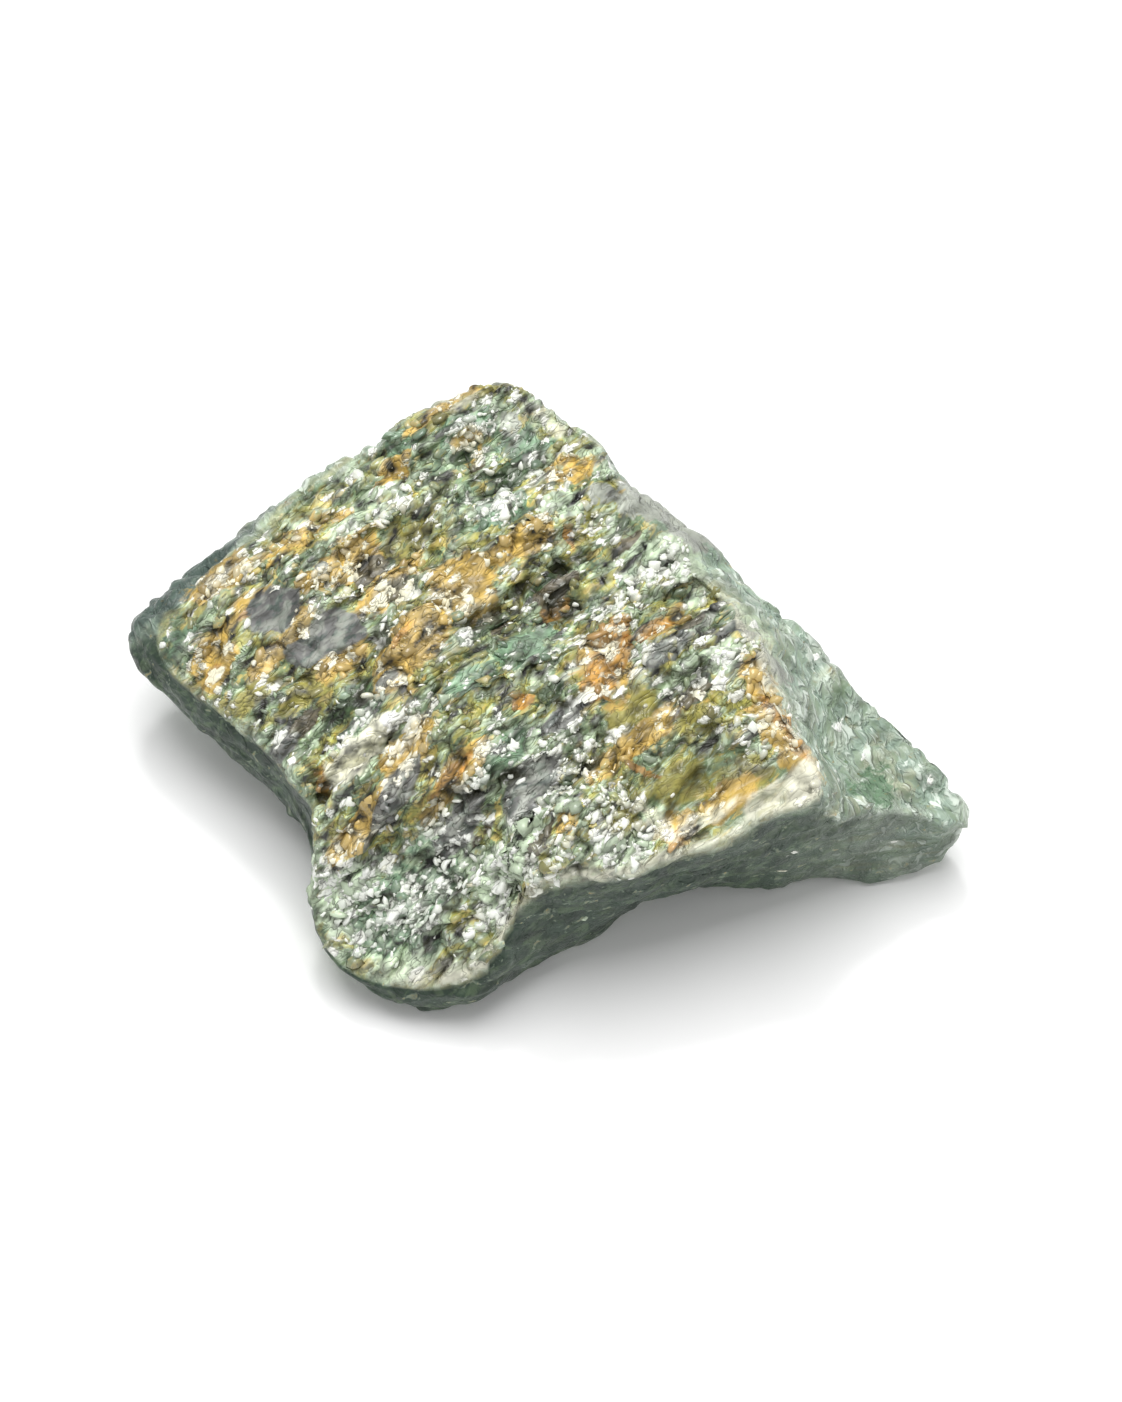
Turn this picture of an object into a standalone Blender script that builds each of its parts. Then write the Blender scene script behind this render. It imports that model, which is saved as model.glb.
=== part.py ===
"""A rough piece of fuchsite schist: one broken, slightly tumbled stone.

The stone is a slab about as wide as a thumb is long. Its top is a cleavage face covered in
green mica, crumpled into ridges that all run one way, and its sides are breaks across the
layers. It is shaped from a finely divided cube: the cube's top becomes the mica face, its sides
follow measured outlines of the stone at several heights, and its bottom becomes the underside,
which is cut off flat where the stone rests.
"""

import math

import bmesh
import bpy
import numpy as np
from mathutils import Vector

MM = 0.001

# Driving dimensions, in millimetres.
CROWN_HEIGHT = 12.4     # height of the mica face at the middle of the stone
CROWN_FLATNESS = 1.7    # how late the mica face turns down towards its edge
EDGE_ROUNDING = 0.035   # half the width of a worn edge, as a share of one step between outlines
TURN_ROUNDING = 0.035   # the same round the stone, in radians
GRAIN_TURN = math.radians(30.0)  # direction of the crumples, anticlockwise from +X, seen from above
RIM_CALM = 0.5          # how much weaker the relief is along the edge of the mica face
FULL_RELIEF = 9.0       # height above which the mica face has its full relief
BELOW_FLOOR = 0.6       # depth of the underside below the plane that cuts it flat
CUBE_CUTS = 44          # divisions of the cube's edges
MOST_TRIANGLES = 9000

CENTRE = (-0.5, -4.0)   # the axis that the outlines are measured round

# Outlines of the stone as (x, y, height), anticlockwise seen from above, from the left tip.
RIM = (                 # the edge of the mica face
    (-21.4, -0.9, 8.2), (-20.9, -2.6, 7.8), (-19.4, -4.2, 7.6), (-17.4, -5.6, 7.7),
    (-15.2, -8.2, 8.0), (-13.5, -11.0, 8.0), (-13.3, -13.2, 8.2), (-13.7, -15.0, 8.4),
    (-12.7, -17.1, 8.8), (-10.6, -18.2, 9.2), (-7.7, -18.8, 9.5), (-5.1, -18.6, 9.7),
    (-4.0, -18.0, 9.8), (-3.7, -16.9, 9.9), (-2.2, -16.2, 9.9), (1.0, -16.2, 10.2),
    (5.0, -15.4, 10.9), (7.8, -14.5, 11.4), (9.6, -13.5, 11.9), (12.2, -13.1, 12.6),
    (11.4, -10.4, 13.4), (9.9, -7.6, 13.7), (8.6, -4.2, 13.6), (6.0, 0.2, 13.3),
    (3.4, 3.5, 13.0), (2.3, 6.6, 12.7), (1.4, 8.7, 12.3), (-1.4, 11.2, 11.8),
    (-3.7, 12.5, 11.3), (-6.4, 11.2, 11.2), (-9.3, 9.0, 11.0), (-11.9, 7.4, 10.8),
    (-14.4, 5.9, 10.4), (-15.7, 4.1, 10.2), (-18.0, 2.5, 9.6), (-20.4, 0.7, 8.8),
)
WAIST = (               # halfway down the breaks, and the crease above the low lobe on the right
    (-22.0, -0.8, 7.4), (-21.0, -3.1, 7.0), (-19.4, -4.4, 6.4), (-17.5, -5.8, 6.0),
    (-15.2, -8.4, 6.0), (-13.6, -11.0, 6.0), (-13.4, -13.2, 5.6), (-13.6, -15.2, 4.2),
    (-12.6, -17.2, 2.8), (-10.5, -18.4, 2.2), (-7.7, -19.1, 2.3), (-5.2, -18.8, 2.8),
    (-3.6, -18.0, 4.6), (-2.6, -17.0, 6.6), (-1.4, -16.5, 7.4), (1.4, -16.2, 8.0),
    (5.2, -15.1, 8.4), (8.0, -14.3, 8.8), (10.0, -13.4, 9.4), (12.8, -12.8, 10.0),
    (13.6, -11.5, 8.3), (13.9, -8.6, 7.3), (14.2, -5.4, 7.3), (13.0, -2.6, 9.6),
    (9.0, 0.2, 11.6), (5.4, 3.8, 11.2), (2.8, 6.6, 10.4), (1.7, 9.0, 10.2),
    (-1.3, 11.6, 9.8), (-3.7, 13.0, 9.4), (-6.8, 11.7, 9.4), (-9.7, 9.6, 9.2),
    (-12.3, 7.9, 9.2), (-15.0, 6.4, 9.2), (-16.6, 4.9, 9.0), (-18.9, 3.0, 8.4),
    (-21.2, 0.9, 7.8),
)
SHOULDER = (            # the widest outline
    (-22.5, -0.6, 6.0), (-21.1, -3.2, 5.6), (-19.0, -4.4, 4.9), (-17.0, -6.2, 4.3),
    (-15.0, -8.5, 4.4), (-13.6, -10.8, 4.8), (-13.4, -13.2, 4.2), (-13.4, -15.3, 3.4),
    (-12.3, -17.3, 2.3), (-10.3, -18.5, 1.7), (-7.6, -19.3, 1.4), (-5.4, -18.6, 1.6),
    (-3.2, -17.8, 2.8), (-1.6, -16.9, 4.0), (0.8, -16.1, 4.6), (4.2, -14.8, 5.4),
    (7.4, -13.9, 5.8), (10.2, -13.0, 6.4), (12.8, -12.3, 7.4), (14.4, -11.6, 7.8),
    (16.4, -11.1, 7.2), (18.1, -10.9, 6.4), (19.8, -10.8, 5.0), (21.8, -10.7, 3.8),
    (20.2, -9.1, 5.4), (19.2, -7.7, 6.0), (18.3, -6.2, 6.3), (16.9, -4.8, 6.8),
    (15.5, -4.1, 7.0), (14.3, -3.4, 7.8), (13.4, -1.9, 8.4), (11.8, -0.6, 8.8),
    (9.6, 1.2, 9.0), (6.8, 4.2, 9.0), (3.8, 6.8, 8.4), (2.3, 9.4, 7.2),
    (-0.9, 12.3, 6.4), (-3.7, 13.5, 6.0), (-7.2, 12.3, 6.0), (-10.3, 10.0, 6.0),
    (-13.2, 8.4, 6.2), (-16.2, 6.6, 6.6), (-18.2, 4.4, 7.0), (-20.6, 2.0, 6.6),
    (-22.2, 0.6, 6.2),
)
FOOT = (                # where the breaks turn under
    (-20.6, -1.2, 3.4), (-18.6, -4.0, 2.8), (-15.4, -6.4, 2.0), (-13.2, -9.2, 1.8),
    (-12.2, -12.4, 1.8), (-12.0, -15.2, 1.7), (-11.0, -17.2, 1.4), (-9.2, -18.3, 0.9),
    (-7.5, -19.2, 0.5), (-5.5, -18.2, 0.4), (-2.8, -17.0, 0.4), (0.3, -15.5, 0.4),
    (2.4, -14.4, 1.0), (4.6, -13.6, 2.0), (7.5, -13.1, 1.9), (10.4, -12.6, 1.2),
    (13.5, -11.9, 0.6), (15.4, -11.6, 0.4), (17.9, -11.5, 0.4), (19.7, -11.0, 0.9),
    (21.6, -10.8, 1.9), (19.8, -8.2, 1.6), (17.8, -5.2, 1.8), (15.0, -2.8, 2.4),
    (11.6, 0.4, 2.6), (7.4, 4.6, 2.4), (3.6, 8.4, 2.2), (-0.2, 12.2, 2.6),
    (-3.6, 13.2, 2.8), (-7.8, 11.2, 2.4), (-12.0, 8.2, 2.4), (-16.2, 5.4, 2.8),
    (-19.4, 2.2, 3.4),
)
REST = (                # the part of the underside that reaches the floor
    (-8.6, -4.0), (-7.8, -9.4), (-6.4, -13.6), (-3.6, -14.6), (0.6, -12.0),
    (5.0, -9.8), (10.2, -9.2), (12.6, -7.8), (9.8, -3.6), (5.0, 0.4),
    (0.4, 3.4), (-4.0, 3.8), (-7.4, 0.6),
)
STATIONS = (1.0, 1.3, 1.6, 2.0, 2.4)  # where the five outlines lie along a line from top to bottom

# The cube's upright edges, and the corners of the stone that they become, in degrees.
CUBE_CORNERS = (-225.0, -135.0, -45.0, 45.0, 135.0, 225.0)
STONE_CORNERS = (-168.0, -114.0, -17.0, 101.0, 192.0, 246.0)

# The lower, tilted part of the mica face at the front left: a point of it, how steeply it rises along
# X and Y, and, to the right of the step, how much more steeply along X.
SLOPE_POINT = (-8.0, -18.7, 3.0)
SLOPE_RISE = (0.3, 1.0)
STEP_X = -4.5
STEP_RISE = 1.2
FOLD = 1.4              # how softly the two parts of the mica face meet

# Crevices in the mica face: (start x, start y, end x, end y, half width, depth).
CREVICES = (
    (-6.6, -3.6, 1.9, 2.6, 0.6, 1.3),
    (-1.5, -2.2, 1.0, -0.8, 0.9, 1.3),
    (-14.4, -11.4, -8.0, -7.6, 0.8, 1.5),
    (-10.4, -13.4, -0.5, -10.2, 0.7, 1.0),
    (-1.2, -12.6, 1.2, -9.4, 0.6, 0.9),
    (5.0, -13.2, 7.8, -8.4, 1.1, 0.7),
)


def hashed(cell, seed):
    """A fixed number from 0 to 1 for each whole-numbered point of space, by mixing its bits."""
    mixed = cell[..., 0] * 73856093 ^ cell[..., 1] * 19349663 ^ cell[..., 2] * 83492791 ^ seed * 2654435
    mixed = (mixed ^ (mixed >> 13)) * 1274126177 & 0xFFFFFFFF
    mixed = (mixed ^ (mixed >> 16)) * 2246822519 & 0xFFFFFFFF
    return (mixed ^ (mixed >> 15) & 0xFFFFFF) % 65536 / 65535.0


def noise(points, seed):
    """Smooth noise from -1 to 1: the hashed numbers of the eight cell corners, eased between."""
    cell = np.floor(points).astype(np.int64)
    part = points - cell
    ease = part ** 3 * (part * (part * 6 - 15) + 10)
    total = np.zeros(len(points))
    for corner in np.ndindex(2, 2, 2):
        share = np.prod(np.where(corner, ease, 1 - ease), axis=1)
        total += share * hashed(cell + np.array(corner), seed)
    return total * 2 - 1


def outline(points, angle):
    """The radius and the height of an outline at each angle, in a straight run between its points."""
    points = np.array(points)
    offset = points[:, :2] - CENTRE
    around = np.arctan2(offset[:, 1], offset[:, 0])
    radius = np.hypot(offset[:, 0], offset[:, 1])
    height = points[:, 2] if points.shape[1] > 2 else np.full(len(points), -BELOW_FLOOR)
    turn = 2 * math.pi
    return np.interp(angle, around, radius, period=turn), np.interp(angle, around, height, period=turn)


def folded(x, y, height):
    """The height of the mica face, brought down to its tilted part where that lies lower."""
    tilted = SLOPE_POINT[2] + SLOPE_RISE[0] * (x - SLOPE_POINT[0]) + SLOPE_RISE[1] * (y - SLOPE_POINT[1])
    tilted = tilted + STEP_RISE * np.maximum(x - STEP_X, 0)
    share = np.clip(0.5 + (tilted - height) / (2 * FOLD), 0, 1)
    return tilted + (height - tilted) * share - FOLD * share * (1 - share)


def surface(angle, station):
    """The stone's surface before its relief. Station runs 0 at the top's middle, 1 at the rim, 2 at the
    foot and 3 at the underside's middle; the outlines are joined by straight lines in between."""
    rings = [outline(points, angle) for points in (RIM, WAIST, SHOULDER, FOOT, REST)]
    inward = np.clip(station, 0, 1)
    radius = inward * rings[0][0]
    height = CROWN_HEIGHT + (rings[0][1] - CROWN_HEIGHT) * inward ** CROWN_FLATNESS
    x = CENTRE[0] + radius * np.cos(angle)
    y = CENTRE[1] + radius * np.sin(angle)
    height = folded(x, y, height)
    rings[0] = (radius, height)
    for place, after, ring, following in zip(STATIONS, STATIONS[1:], rings, rings[1:]):
        share = np.clip((station - place) / (after - place), 0, 1)
        below = station > place
        radius = np.where(below, ring[0] + (following[0] - ring[0]) * share, radius)
        height = np.where(below, ring[1] + (following[1] - ring[1]) * share, height)
    under = station > STATIONS[-1]
    radius = np.where(under, rings[-1][0] * (3 - station) / (3 - STATIONS[-1]), radius)
    x = CENTRE[0] + radius * np.cos(angle)
    y = CENTRE[1] + radius * np.sin(angle)
    return np.stack([x, y, height], axis=1)


def worn_surface(angle, station):
    """The surface averaged over a small patch round each point, which rounds its edges."""
    total = np.zeros((len(angle), 3))
    taps = [(i, j) for i in (-1, -0.5, 0, 0.5, 1) for j in (-1, 0, 1)]
    for i, j in taps:
        moved = np.clip(station + i * EDGE_ROUNDING, 0, 3)
        total += surface(angle + j * TURN_ROUNDING, moved)
    return total / len(taps)


def along_grain(points, long, across, up):
    """The points turned so that X runs along the crumples, then divided by a length for each axis."""
    c, s = math.cos(GRAIN_TURN), math.sin(GRAIN_TURN)
    u = points[:, 0] * c + points[:, 1] * s
    v = points[:, 1] * c - points[:, 0] * s
    return np.stack([u / long, v / across, points[:, 2] / up], axis=1)


def crevice_depth(points):
    """How deep the crevices cut at each point: a V along a line, fading at its ends."""
    depth = np.zeros(len(points))
    for x0, y0, x1, y1, half_width, deepest in CREVICES:
        run = np.array([x1 - x0, y1 - y0])
        offset = points[:, :2] - (x0, y0)
        share = np.clip(offset @ run / (run @ run), 0, 1)
        wander = 0.5 * noise(points / 1.7, 31)
        away = np.hypot(*(offset - share[:, None] * run).T + wander) / half_width
        depth += deepest * np.clip(1 - away, 0, 1) * np.sin(math.pi * np.clip(share, 0.08, 0.92))
    return depth


def relief(points, upward):
    """How far the worn surface is raised: crumples and broken layers on the mica face, weak steps
    along the layers on the breaks, and broad lumps everywhere. Upward is 1 on the mica face."""
    broad = 0.45 * noise(points / 6.0, 1) + 0.22 * noise(points / 2.6, 2)
    crumples = 0.5 - np.abs(noise(along_grain(points, 7.0, 2.3, 6.0), 3))
    layers = noise(along_grain(points, 9.0, 4.2, 6.0), 4) * 3.2
    step = np.floor(layers)
    layers = (step + np.clip((layers - step) * 2 - 1, 0, 1)) * 0.3
    face = (0.9 * crumples + layers) * np.clip(points[:, 2] / FULL_RELIEF, 0.35, 1) - crevice_depth(points)
    breaks = 0.18 * noise(along_grain(points, 5.0, 5.0, 0.9), 5)
    return broad + face * upward + breaks * (1 - upward)


def make_stone(collection):
    """The stone as one closed mesh, in millimetres about the outlines' own axes."""
    shape = bmesh.new()
    bmesh.ops.create_cube(shape, size=2.0)
    bmesh.ops.subdivide_edges(shape, edges=shape.edges[:], cuts=CUBE_CUTS, use_grid_fill=True)
    mesh = bpy.data.meshes.new("fuchsite_stone")
    shape.to_mesh(mesh)
    shape.free()

    cube = np.empty(len(mesh.vertices) * 3)
    mesh.vertices.foreach_get("co", cube)
    a, b, c = cube.reshape(-1, 3).T
    angle = np.radians(np.interp(np.degrees(np.arctan2(b, a)), CUBE_CORNERS, STONE_CORNERS))
    ring = np.maximum(np.abs(a), np.abs(b))
    station = np.where(c > 0.9999, ring, np.where(c < -0.9999, 3 - ring, 1.5 - c / 2))
    points = worn_surface(angle, station)
    mesh.vertices.foreach_set("co", points.ravel())
    mesh.update()

    normals = np.empty(len(points) * 3)
    mesh.vertices.foreach_get("normal", normals)
    upward = np.clip((1.12 - station) / 0.16, 0, 1)
    calm = 1 - RIM_CALM * np.exp(-((station - 1.05) / 0.12) ** 2)
    rise = relief(points, upward) * calm * np.clip((2.3 - station) / 0.3, 0, 1)
    points = points + normals.reshape(-1, 3) * rise[:, None]
    mesh.vertices.foreach_set("co", points.ravel())
    mesh.update()

    stone = bpy.data.objects.new("fuchsite_stone", mesh)
    collection.objects.link(stone)
    return stone


def thin_out(stone):
    """Collapses the mesh to its triangle limit, which keeps the small faces where the relief is."""
    triangles = sum(len(face.vertices) - 2 for face in stone.data.polygons)
    modifier = stone.modifiers.new("fewer triangles", "DECIMATE")
    modifier.ratio = MOST_TRIANGLES / triangles
    modifier.use_collapse_triangulate = True
    graph = bpy.context.evaluated_depsgraph_get()
    thinned = bpy.data.meshes.new_from_object(stone.evaluated_get(graph))
    stone.modifiers.clear()
    stone.data = thinned


def cut_flat_and_centre(stone):
    """Cuts the underside off at height 0, caps it, and puts the origin under the middle of the stone."""
    shape = bmesh.new()
    shape.from_mesh(stone.data)
    cut = bmesh.ops.bisect_plane(
        shape,
        geom=shape.verts[:] + shape.edges[:] + shape.faces[:],
        plane_co=(0, 0, 0),
        plane_no=(0, 0, -1),
        clear_outer=True,
    )
    rim = [item for item in cut["geom_cut"] if isinstance(item, bmesh.types.BMEdge)]
    bmesh.ops.contextual_create(shape, geom=rim)
    low = Vector([min(v.co[i] for v in shape.verts) for i in range(3)])
    high = Vector([max(v.co[i] for v in shape.verts) for i in range(3)])
    middle = (low + high) / 2
    bmesh.ops.translate(shape, vec=(-middle.x, -middle.y, 0), verts=shape.verts[:])
    bmesh.ops.scale(shape, vec=(MM, MM, MM), verts=shape.verts[:])
    bmesh.ops.recalc_face_normals(shape, faces=shape.faces[:])
    shape.to_mesh(stone.data)
    shape.free()


def stone_material():
    """Green chrome mica, satin and a little pearly."""
    material = bpy.data.materials.new("fuchsite")
    material.use_nodes = True
    shader = material.node_tree.nodes["Principled BSDF"]
    shader.inputs["Base Color"].default_value = (0.21, 0.27, 0.17, 1.0)
    shader.inputs["Roughness"].default_value = 0.45
    shader.inputs["Metallic"].default_value = 0.0
    return material


def build():
    for item in list(bpy.data.objects):
        bpy.data.objects.remove(item, do_unlink=True)
    collection = bpy.data.collections.new("fuchsite")
    bpy.context.scene.collection.children.link(collection)
    stone = make_stone(collection)
    thin_out(stone)
    cut_flat_and_centre(stone)
    stone.data.materials.append(stone_material())
    return stone


build()
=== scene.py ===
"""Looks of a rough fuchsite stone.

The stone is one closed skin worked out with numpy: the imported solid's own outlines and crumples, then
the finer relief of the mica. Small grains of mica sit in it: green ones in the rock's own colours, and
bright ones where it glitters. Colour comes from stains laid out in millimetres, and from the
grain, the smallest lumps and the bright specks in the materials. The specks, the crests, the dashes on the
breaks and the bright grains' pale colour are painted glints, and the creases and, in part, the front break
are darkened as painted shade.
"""

import math
from functools import partialmethod

import bpy
import numpy as np
from mathutils import Matrix, Vector


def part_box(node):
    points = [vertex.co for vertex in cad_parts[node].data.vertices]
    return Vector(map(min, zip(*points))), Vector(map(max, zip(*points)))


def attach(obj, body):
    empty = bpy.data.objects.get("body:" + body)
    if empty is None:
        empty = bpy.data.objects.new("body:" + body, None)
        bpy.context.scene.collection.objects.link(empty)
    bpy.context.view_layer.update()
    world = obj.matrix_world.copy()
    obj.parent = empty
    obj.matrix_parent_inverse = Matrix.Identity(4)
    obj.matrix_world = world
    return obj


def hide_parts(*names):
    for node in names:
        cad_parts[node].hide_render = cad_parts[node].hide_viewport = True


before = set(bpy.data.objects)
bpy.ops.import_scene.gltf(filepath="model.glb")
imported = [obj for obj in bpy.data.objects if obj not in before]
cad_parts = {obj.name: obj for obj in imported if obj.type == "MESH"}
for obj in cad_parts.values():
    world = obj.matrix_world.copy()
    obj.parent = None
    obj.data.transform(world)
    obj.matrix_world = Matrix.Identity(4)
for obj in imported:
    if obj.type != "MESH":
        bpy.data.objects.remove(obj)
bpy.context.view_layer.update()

MM = 0.001
NODE = "fuchsite_stone"

# The shape's measures, in millimetres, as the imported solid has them.
CROWN_HEIGHT = 12.4
CROWN_FLATNESS = 1.7
EDGE_ROUNDING = 0.035
TURN_ROUNDING = 0.035
GRAIN_TURN = math.radians(30.0)
RIM_CALM = 0.5
FULL_RELIEF = 9.0
BELOW_FLOOR = 0.6
CENTRE = (-0.5, -4.0)

# The directions of the mica's ribs and of the ridge's dashes, and the way the front break faces.
MICA_TURN = math.radians(41.0)
RIDGE_TURN = math.radians(118.0)
BREAK_FACING = (-0.45, -0.95)

# Outlines as (x, y, height), anticlockwise seen from above, from the left tip.
RIM = (
    (-21.4, -0.9, 8.2), (-20.9, -2.6, 7.8), (-19.4, -4.2, 7.6), (-17.4, -5.6, 7.7),
    (-15.2, -8.2, 8.0), (-13.5, -11.0, 8.0), (-13.3, -13.2, 8.2), (-13.7, -15.0, 8.4),
    (-12.7, -17.1, 8.8), (-10.6, -18.2, 9.2), (-7.7, -18.8, 9.5), (-5.1, -18.6, 9.7),
    (-4.0, -18.0, 9.8), (-3.7, -16.9, 9.9), (-2.2, -16.2, 9.9), (1.0, -16.2, 10.2),
    (5.0, -15.4, 10.9), (7.8, -14.5, 11.4), (9.6, -13.5, 11.9), (12.2, -13.1, 12.6),
    (11.4, -10.4, 13.4), (9.9, -7.6, 13.7), (8.6, -4.2, 13.6), (6.0, 0.2, 13.3),
    (3.4, 3.5, 13.0), (2.3, 6.6, 12.7), (1.4, 8.7, 12.3), (-1.4, 11.2, 11.8),
    (-3.7, 12.5, 11.3), (-6.4, 11.2, 11.2), (-9.3, 9.0, 11.0), (-11.9, 7.4, 10.8),
    (-14.4, 5.9, 10.4), (-15.7, 4.1, 10.2), (-18.0, 2.5, 9.6), (-20.4, 0.7, 8.8),
)
WAIST = (
    (-22.0, -0.8, 7.4), (-21.0, -3.1, 7.0), (-19.4, -4.4, 6.4), (-17.5, -5.8, 6.0),
    (-15.2, -8.4, 6.0), (-13.6, -11.0, 6.0), (-13.4, -13.2, 5.6), (-13.6, -15.2, 4.2),
    (-12.6, -17.2, 2.8), (-10.5, -18.4, 2.2), (-7.7, -19.1, 2.3), (-5.2, -18.8, 2.8),
    (-3.6, -18.0, 4.6), (-2.6, -17.0, 6.6), (-1.4, -16.5, 7.4), (1.4, -16.2, 8.0),
    (5.2, -15.1, 8.4), (8.0, -14.3, 8.8), (10.0, -13.4, 9.4), (12.8, -12.8, 10.0),
    (13.6, -11.5, 8.3), (13.9, -8.6, 7.3), (14.2, -5.4, 7.3), (13.0, -2.6, 9.6),
    (9.0, 0.2, 11.6), (5.4, 3.8, 11.2), (2.8, 6.6, 10.4), (1.7, 9.0, 10.2),
    (-1.3, 11.6, 9.8), (-3.7, 13.0, 9.4), (-6.8, 11.7, 9.4), (-9.7, 9.6, 9.2),
    (-12.3, 7.9, 9.2), (-15.0, 6.4, 9.2), (-16.6, 4.9, 9.0), (-18.9, 3.0, 8.4),
    (-21.2, 0.9, 7.8),
)
SHOULDER = (
    (-22.5, -0.6, 6.0), (-21.1, -3.2, 5.6), (-19.0, -4.4, 4.9), (-17.0, -6.2, 4.3),
    (-15.0, -8.5, 4.4), (-13.6, -10.8, 4.8), (-13.4, -13.2, 4.2), (-13.4, -15.3, 3.4),
    (-12.3, -17.3, 2.3), (-10.3, -18.5, 1.7), (-7.6, -19.3, 1.4), (-5.4, -18.6, 1.6),
    (-3.2, -17.8, 2.8), (-1.6, -16.9, 4.0), (0.8, -16.1, 4.6), (4.2, -14.8, 5.4),
    (7.4, -13.9, 5.8), (10.2, -13.0, 6.4), (12.8, -12.3, 7.4), (14.4, -11.6, 7.8),
    (16.4, -11.1, 7.2), (18.1, -10.9, 6.4), (19.8, -10.8, 5.0), (21.8, -10.7, 3.8),
    (20.2, -9.1, 5.4), (19.2, -7.7, 6.0), (18.3, -6.2, 6.3), (16.9, -4.8, 6.8),
    (15.5, -4.1, 7.0), (14.3, -3.4, 7.8), (13.4, -1.9, 8.4), (11.8, -0.6, 8.8),
    (9.6, 1.2, 9.0), (6.8, 4.2, 9.0), (3.8, 6.8, 8.4), (2.3, 9.4, 7.2),
    (-0.9, 12.3, 6.4), (-3.7, 13.5, 6.0), (-7.2, 12.3, 6.0), (-10.3, 10.0, 6.0),
    (-13.2, 8.4, 6.2), (-16.2, 6.6, 6.6), (-18.2, 4.4, 7.0), (-20.6, 2.0, 6.6),
    (-22.2, 0.6, 6.2),
)
FOOT = (
    (-20.6, -1.2, 3.4), (-18.6, -4.0, 2.8), (-15.4, -6.4, 2.0), (-13.2, -9.2, 1.8),
    (-12.2, -12.4, 1.8), (-12.0, -15.2, 1.7), (-11.0, -17.2, 1.4), (-9.2, -18.3, 0.9),
    (-7.5, -19.2, 0.5), (-5.5, -18.2, 0.4), (-2.8, -17.0, 0.4), (0.3, -15.5, 0.4),
    (2.4, -14.4, 1.0), (4.6, -13.6, 2.0), (7.5, -13.1, 1.9), (10.4, -12.6, 1.2),
    (13.5, -11.9, 0.6), (15.4, -11.6, 0.4), (17.9, -11.5, 0.4), (19.7, -11.0, 0.9),
    (21.6, -10.8, 1.9), (19.8, -8.2, 1.6), (17.8, -5.2, 1.8), (15.0, -2.8, 2.4),
    (11.6, 0.4, 2.6), (7.4, 4.6, 2.4), (3.6, 8.4, 2.2), (-0.2, 12.2, 2.6),
    (-3.6, 13.2, 2.8), (-7.8, 11.2, 2.4), (-12.0, 8.2, 2.4), (-16.2, 5.4, 2.8),
    (-19.4, 2.2, 3.4),
)
REST = (
    (-8.6, -4.0), (-7.8, -9.4), (-6.4, -13.6), (-3.6, -14.6), (0.6, -12.0),
    (5.0, -9.8), (10.2, -9.2), (12.6, -7.8), (9.8, -3.6), (5.0, 0.4),
    (0.4, 3.4), (-4.0, 3.8), (-7.4, 0.6),
)
STATIONS = (1.0, 1.3, 1.6, 2.0, 2.4)
CUBE_CORNERS = (-225.0, -135.0, -45.0, 45.0, 135.0, 225.0)
STONE_CORNERS = (-168.0, -114.0, -17.0, 101.0, 192.0, 246.0)
SLOPE_POINT = (-8.0, -18.7, 3.0)
SLOPE_RISE = (0.3, 1.0)
STEP_X = -4.5
STEP_RISE = 1.2
FOLD = 1.4
CREVICES = (
    (-6.6, -3.6, 1.9, 2.6, 0.6, 1.3),
    (-1.5, -2.2, 1.0, -0.8, 0.9, 1.3),
    (-14.4, -11.4, -8.0, -7.6, 0.8, 1.5),
    (-10.4, -13.4, -0.5, -10.2, 0.7, 1.0),
    (-1.2, -12.6, 1.2, -9.4, 0.6, 0.9),
    (5.0, -13.2, 7.8, -8.4, 1.1, 0.7),
)

# Stations: where the mica face ends and over how far, where the relief is calmest and how widely, and
# where the crumples, the fine relief and the stains fade out.
FACE_END, FACE_FADE = 1.12, 0.16
CALM_STATION, CALM_WIDTH = 1.05, 0.12
CRUMPLES_END, CRUMPLES_FADE = 2.3, 0.3
FINE_END, FINE_FADE = 2.75, 0.4
STAINS_FADE, STAINS_END = 1.85, 2.25
PALE_EDGE_WIDTH = 0.045

# The forms of the mica: how long, wide and tall each is, and how high it stands.
PLATE, PLATE_RISE, PLATE_LEAN = (2.4, 1.2, 1.4), 0.22, 0.45
RIB, RIB_RISE = (3.6, 0.9, 1.4), 0.85
LUMP, LUMP_RISE = (1.3, 0.68, 0.9), 0.50
BEAD, BEAD_RISE = (0.95, 0.60, 0.7), 0.36
FACE_SUNK = 0.68

# The forms of the breaks: thin layers, a rough surface, chips and short dashes along the ridge.
LAYER, LAYER_RISE = (3.2, 3.2, 0.42), 0.10
ROUGHNESS, ROUGHNESS_RISE = 0.6, 0.05
CHIP, CHIP_DEPTH = 1.1, 0.10
RIDGE_DASH, RIDGE_DASH_RISE = (1.5, 0.75, 0.8), 0.46

# How finely the skin is divided: across the top, down the breaks and under the foot.
TOP_CELLS = 250
BREAK_ROWS = ((1.0, 1.3, 7), (1.3, 1.6, 16), (1.6, 2.0, 8), (2.0, 2.4, 3), (2.4, 2.97, 2))

# Grains: a ring's corners, the upper ring's height and width as shares of the grain's, how far a grain
# strays from its spot in millimetres and from the rock's direction, and the lowest that one reaches.
GRAIN_SIDES = 7
WAIST_HEIGHT, WAIST_WIDTH = 0.75, 0.80
GRAIN_STRAY, GRAIN_WANDER = 0.04, 0.55
LOWEST_GRAIN = 0.05

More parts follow.
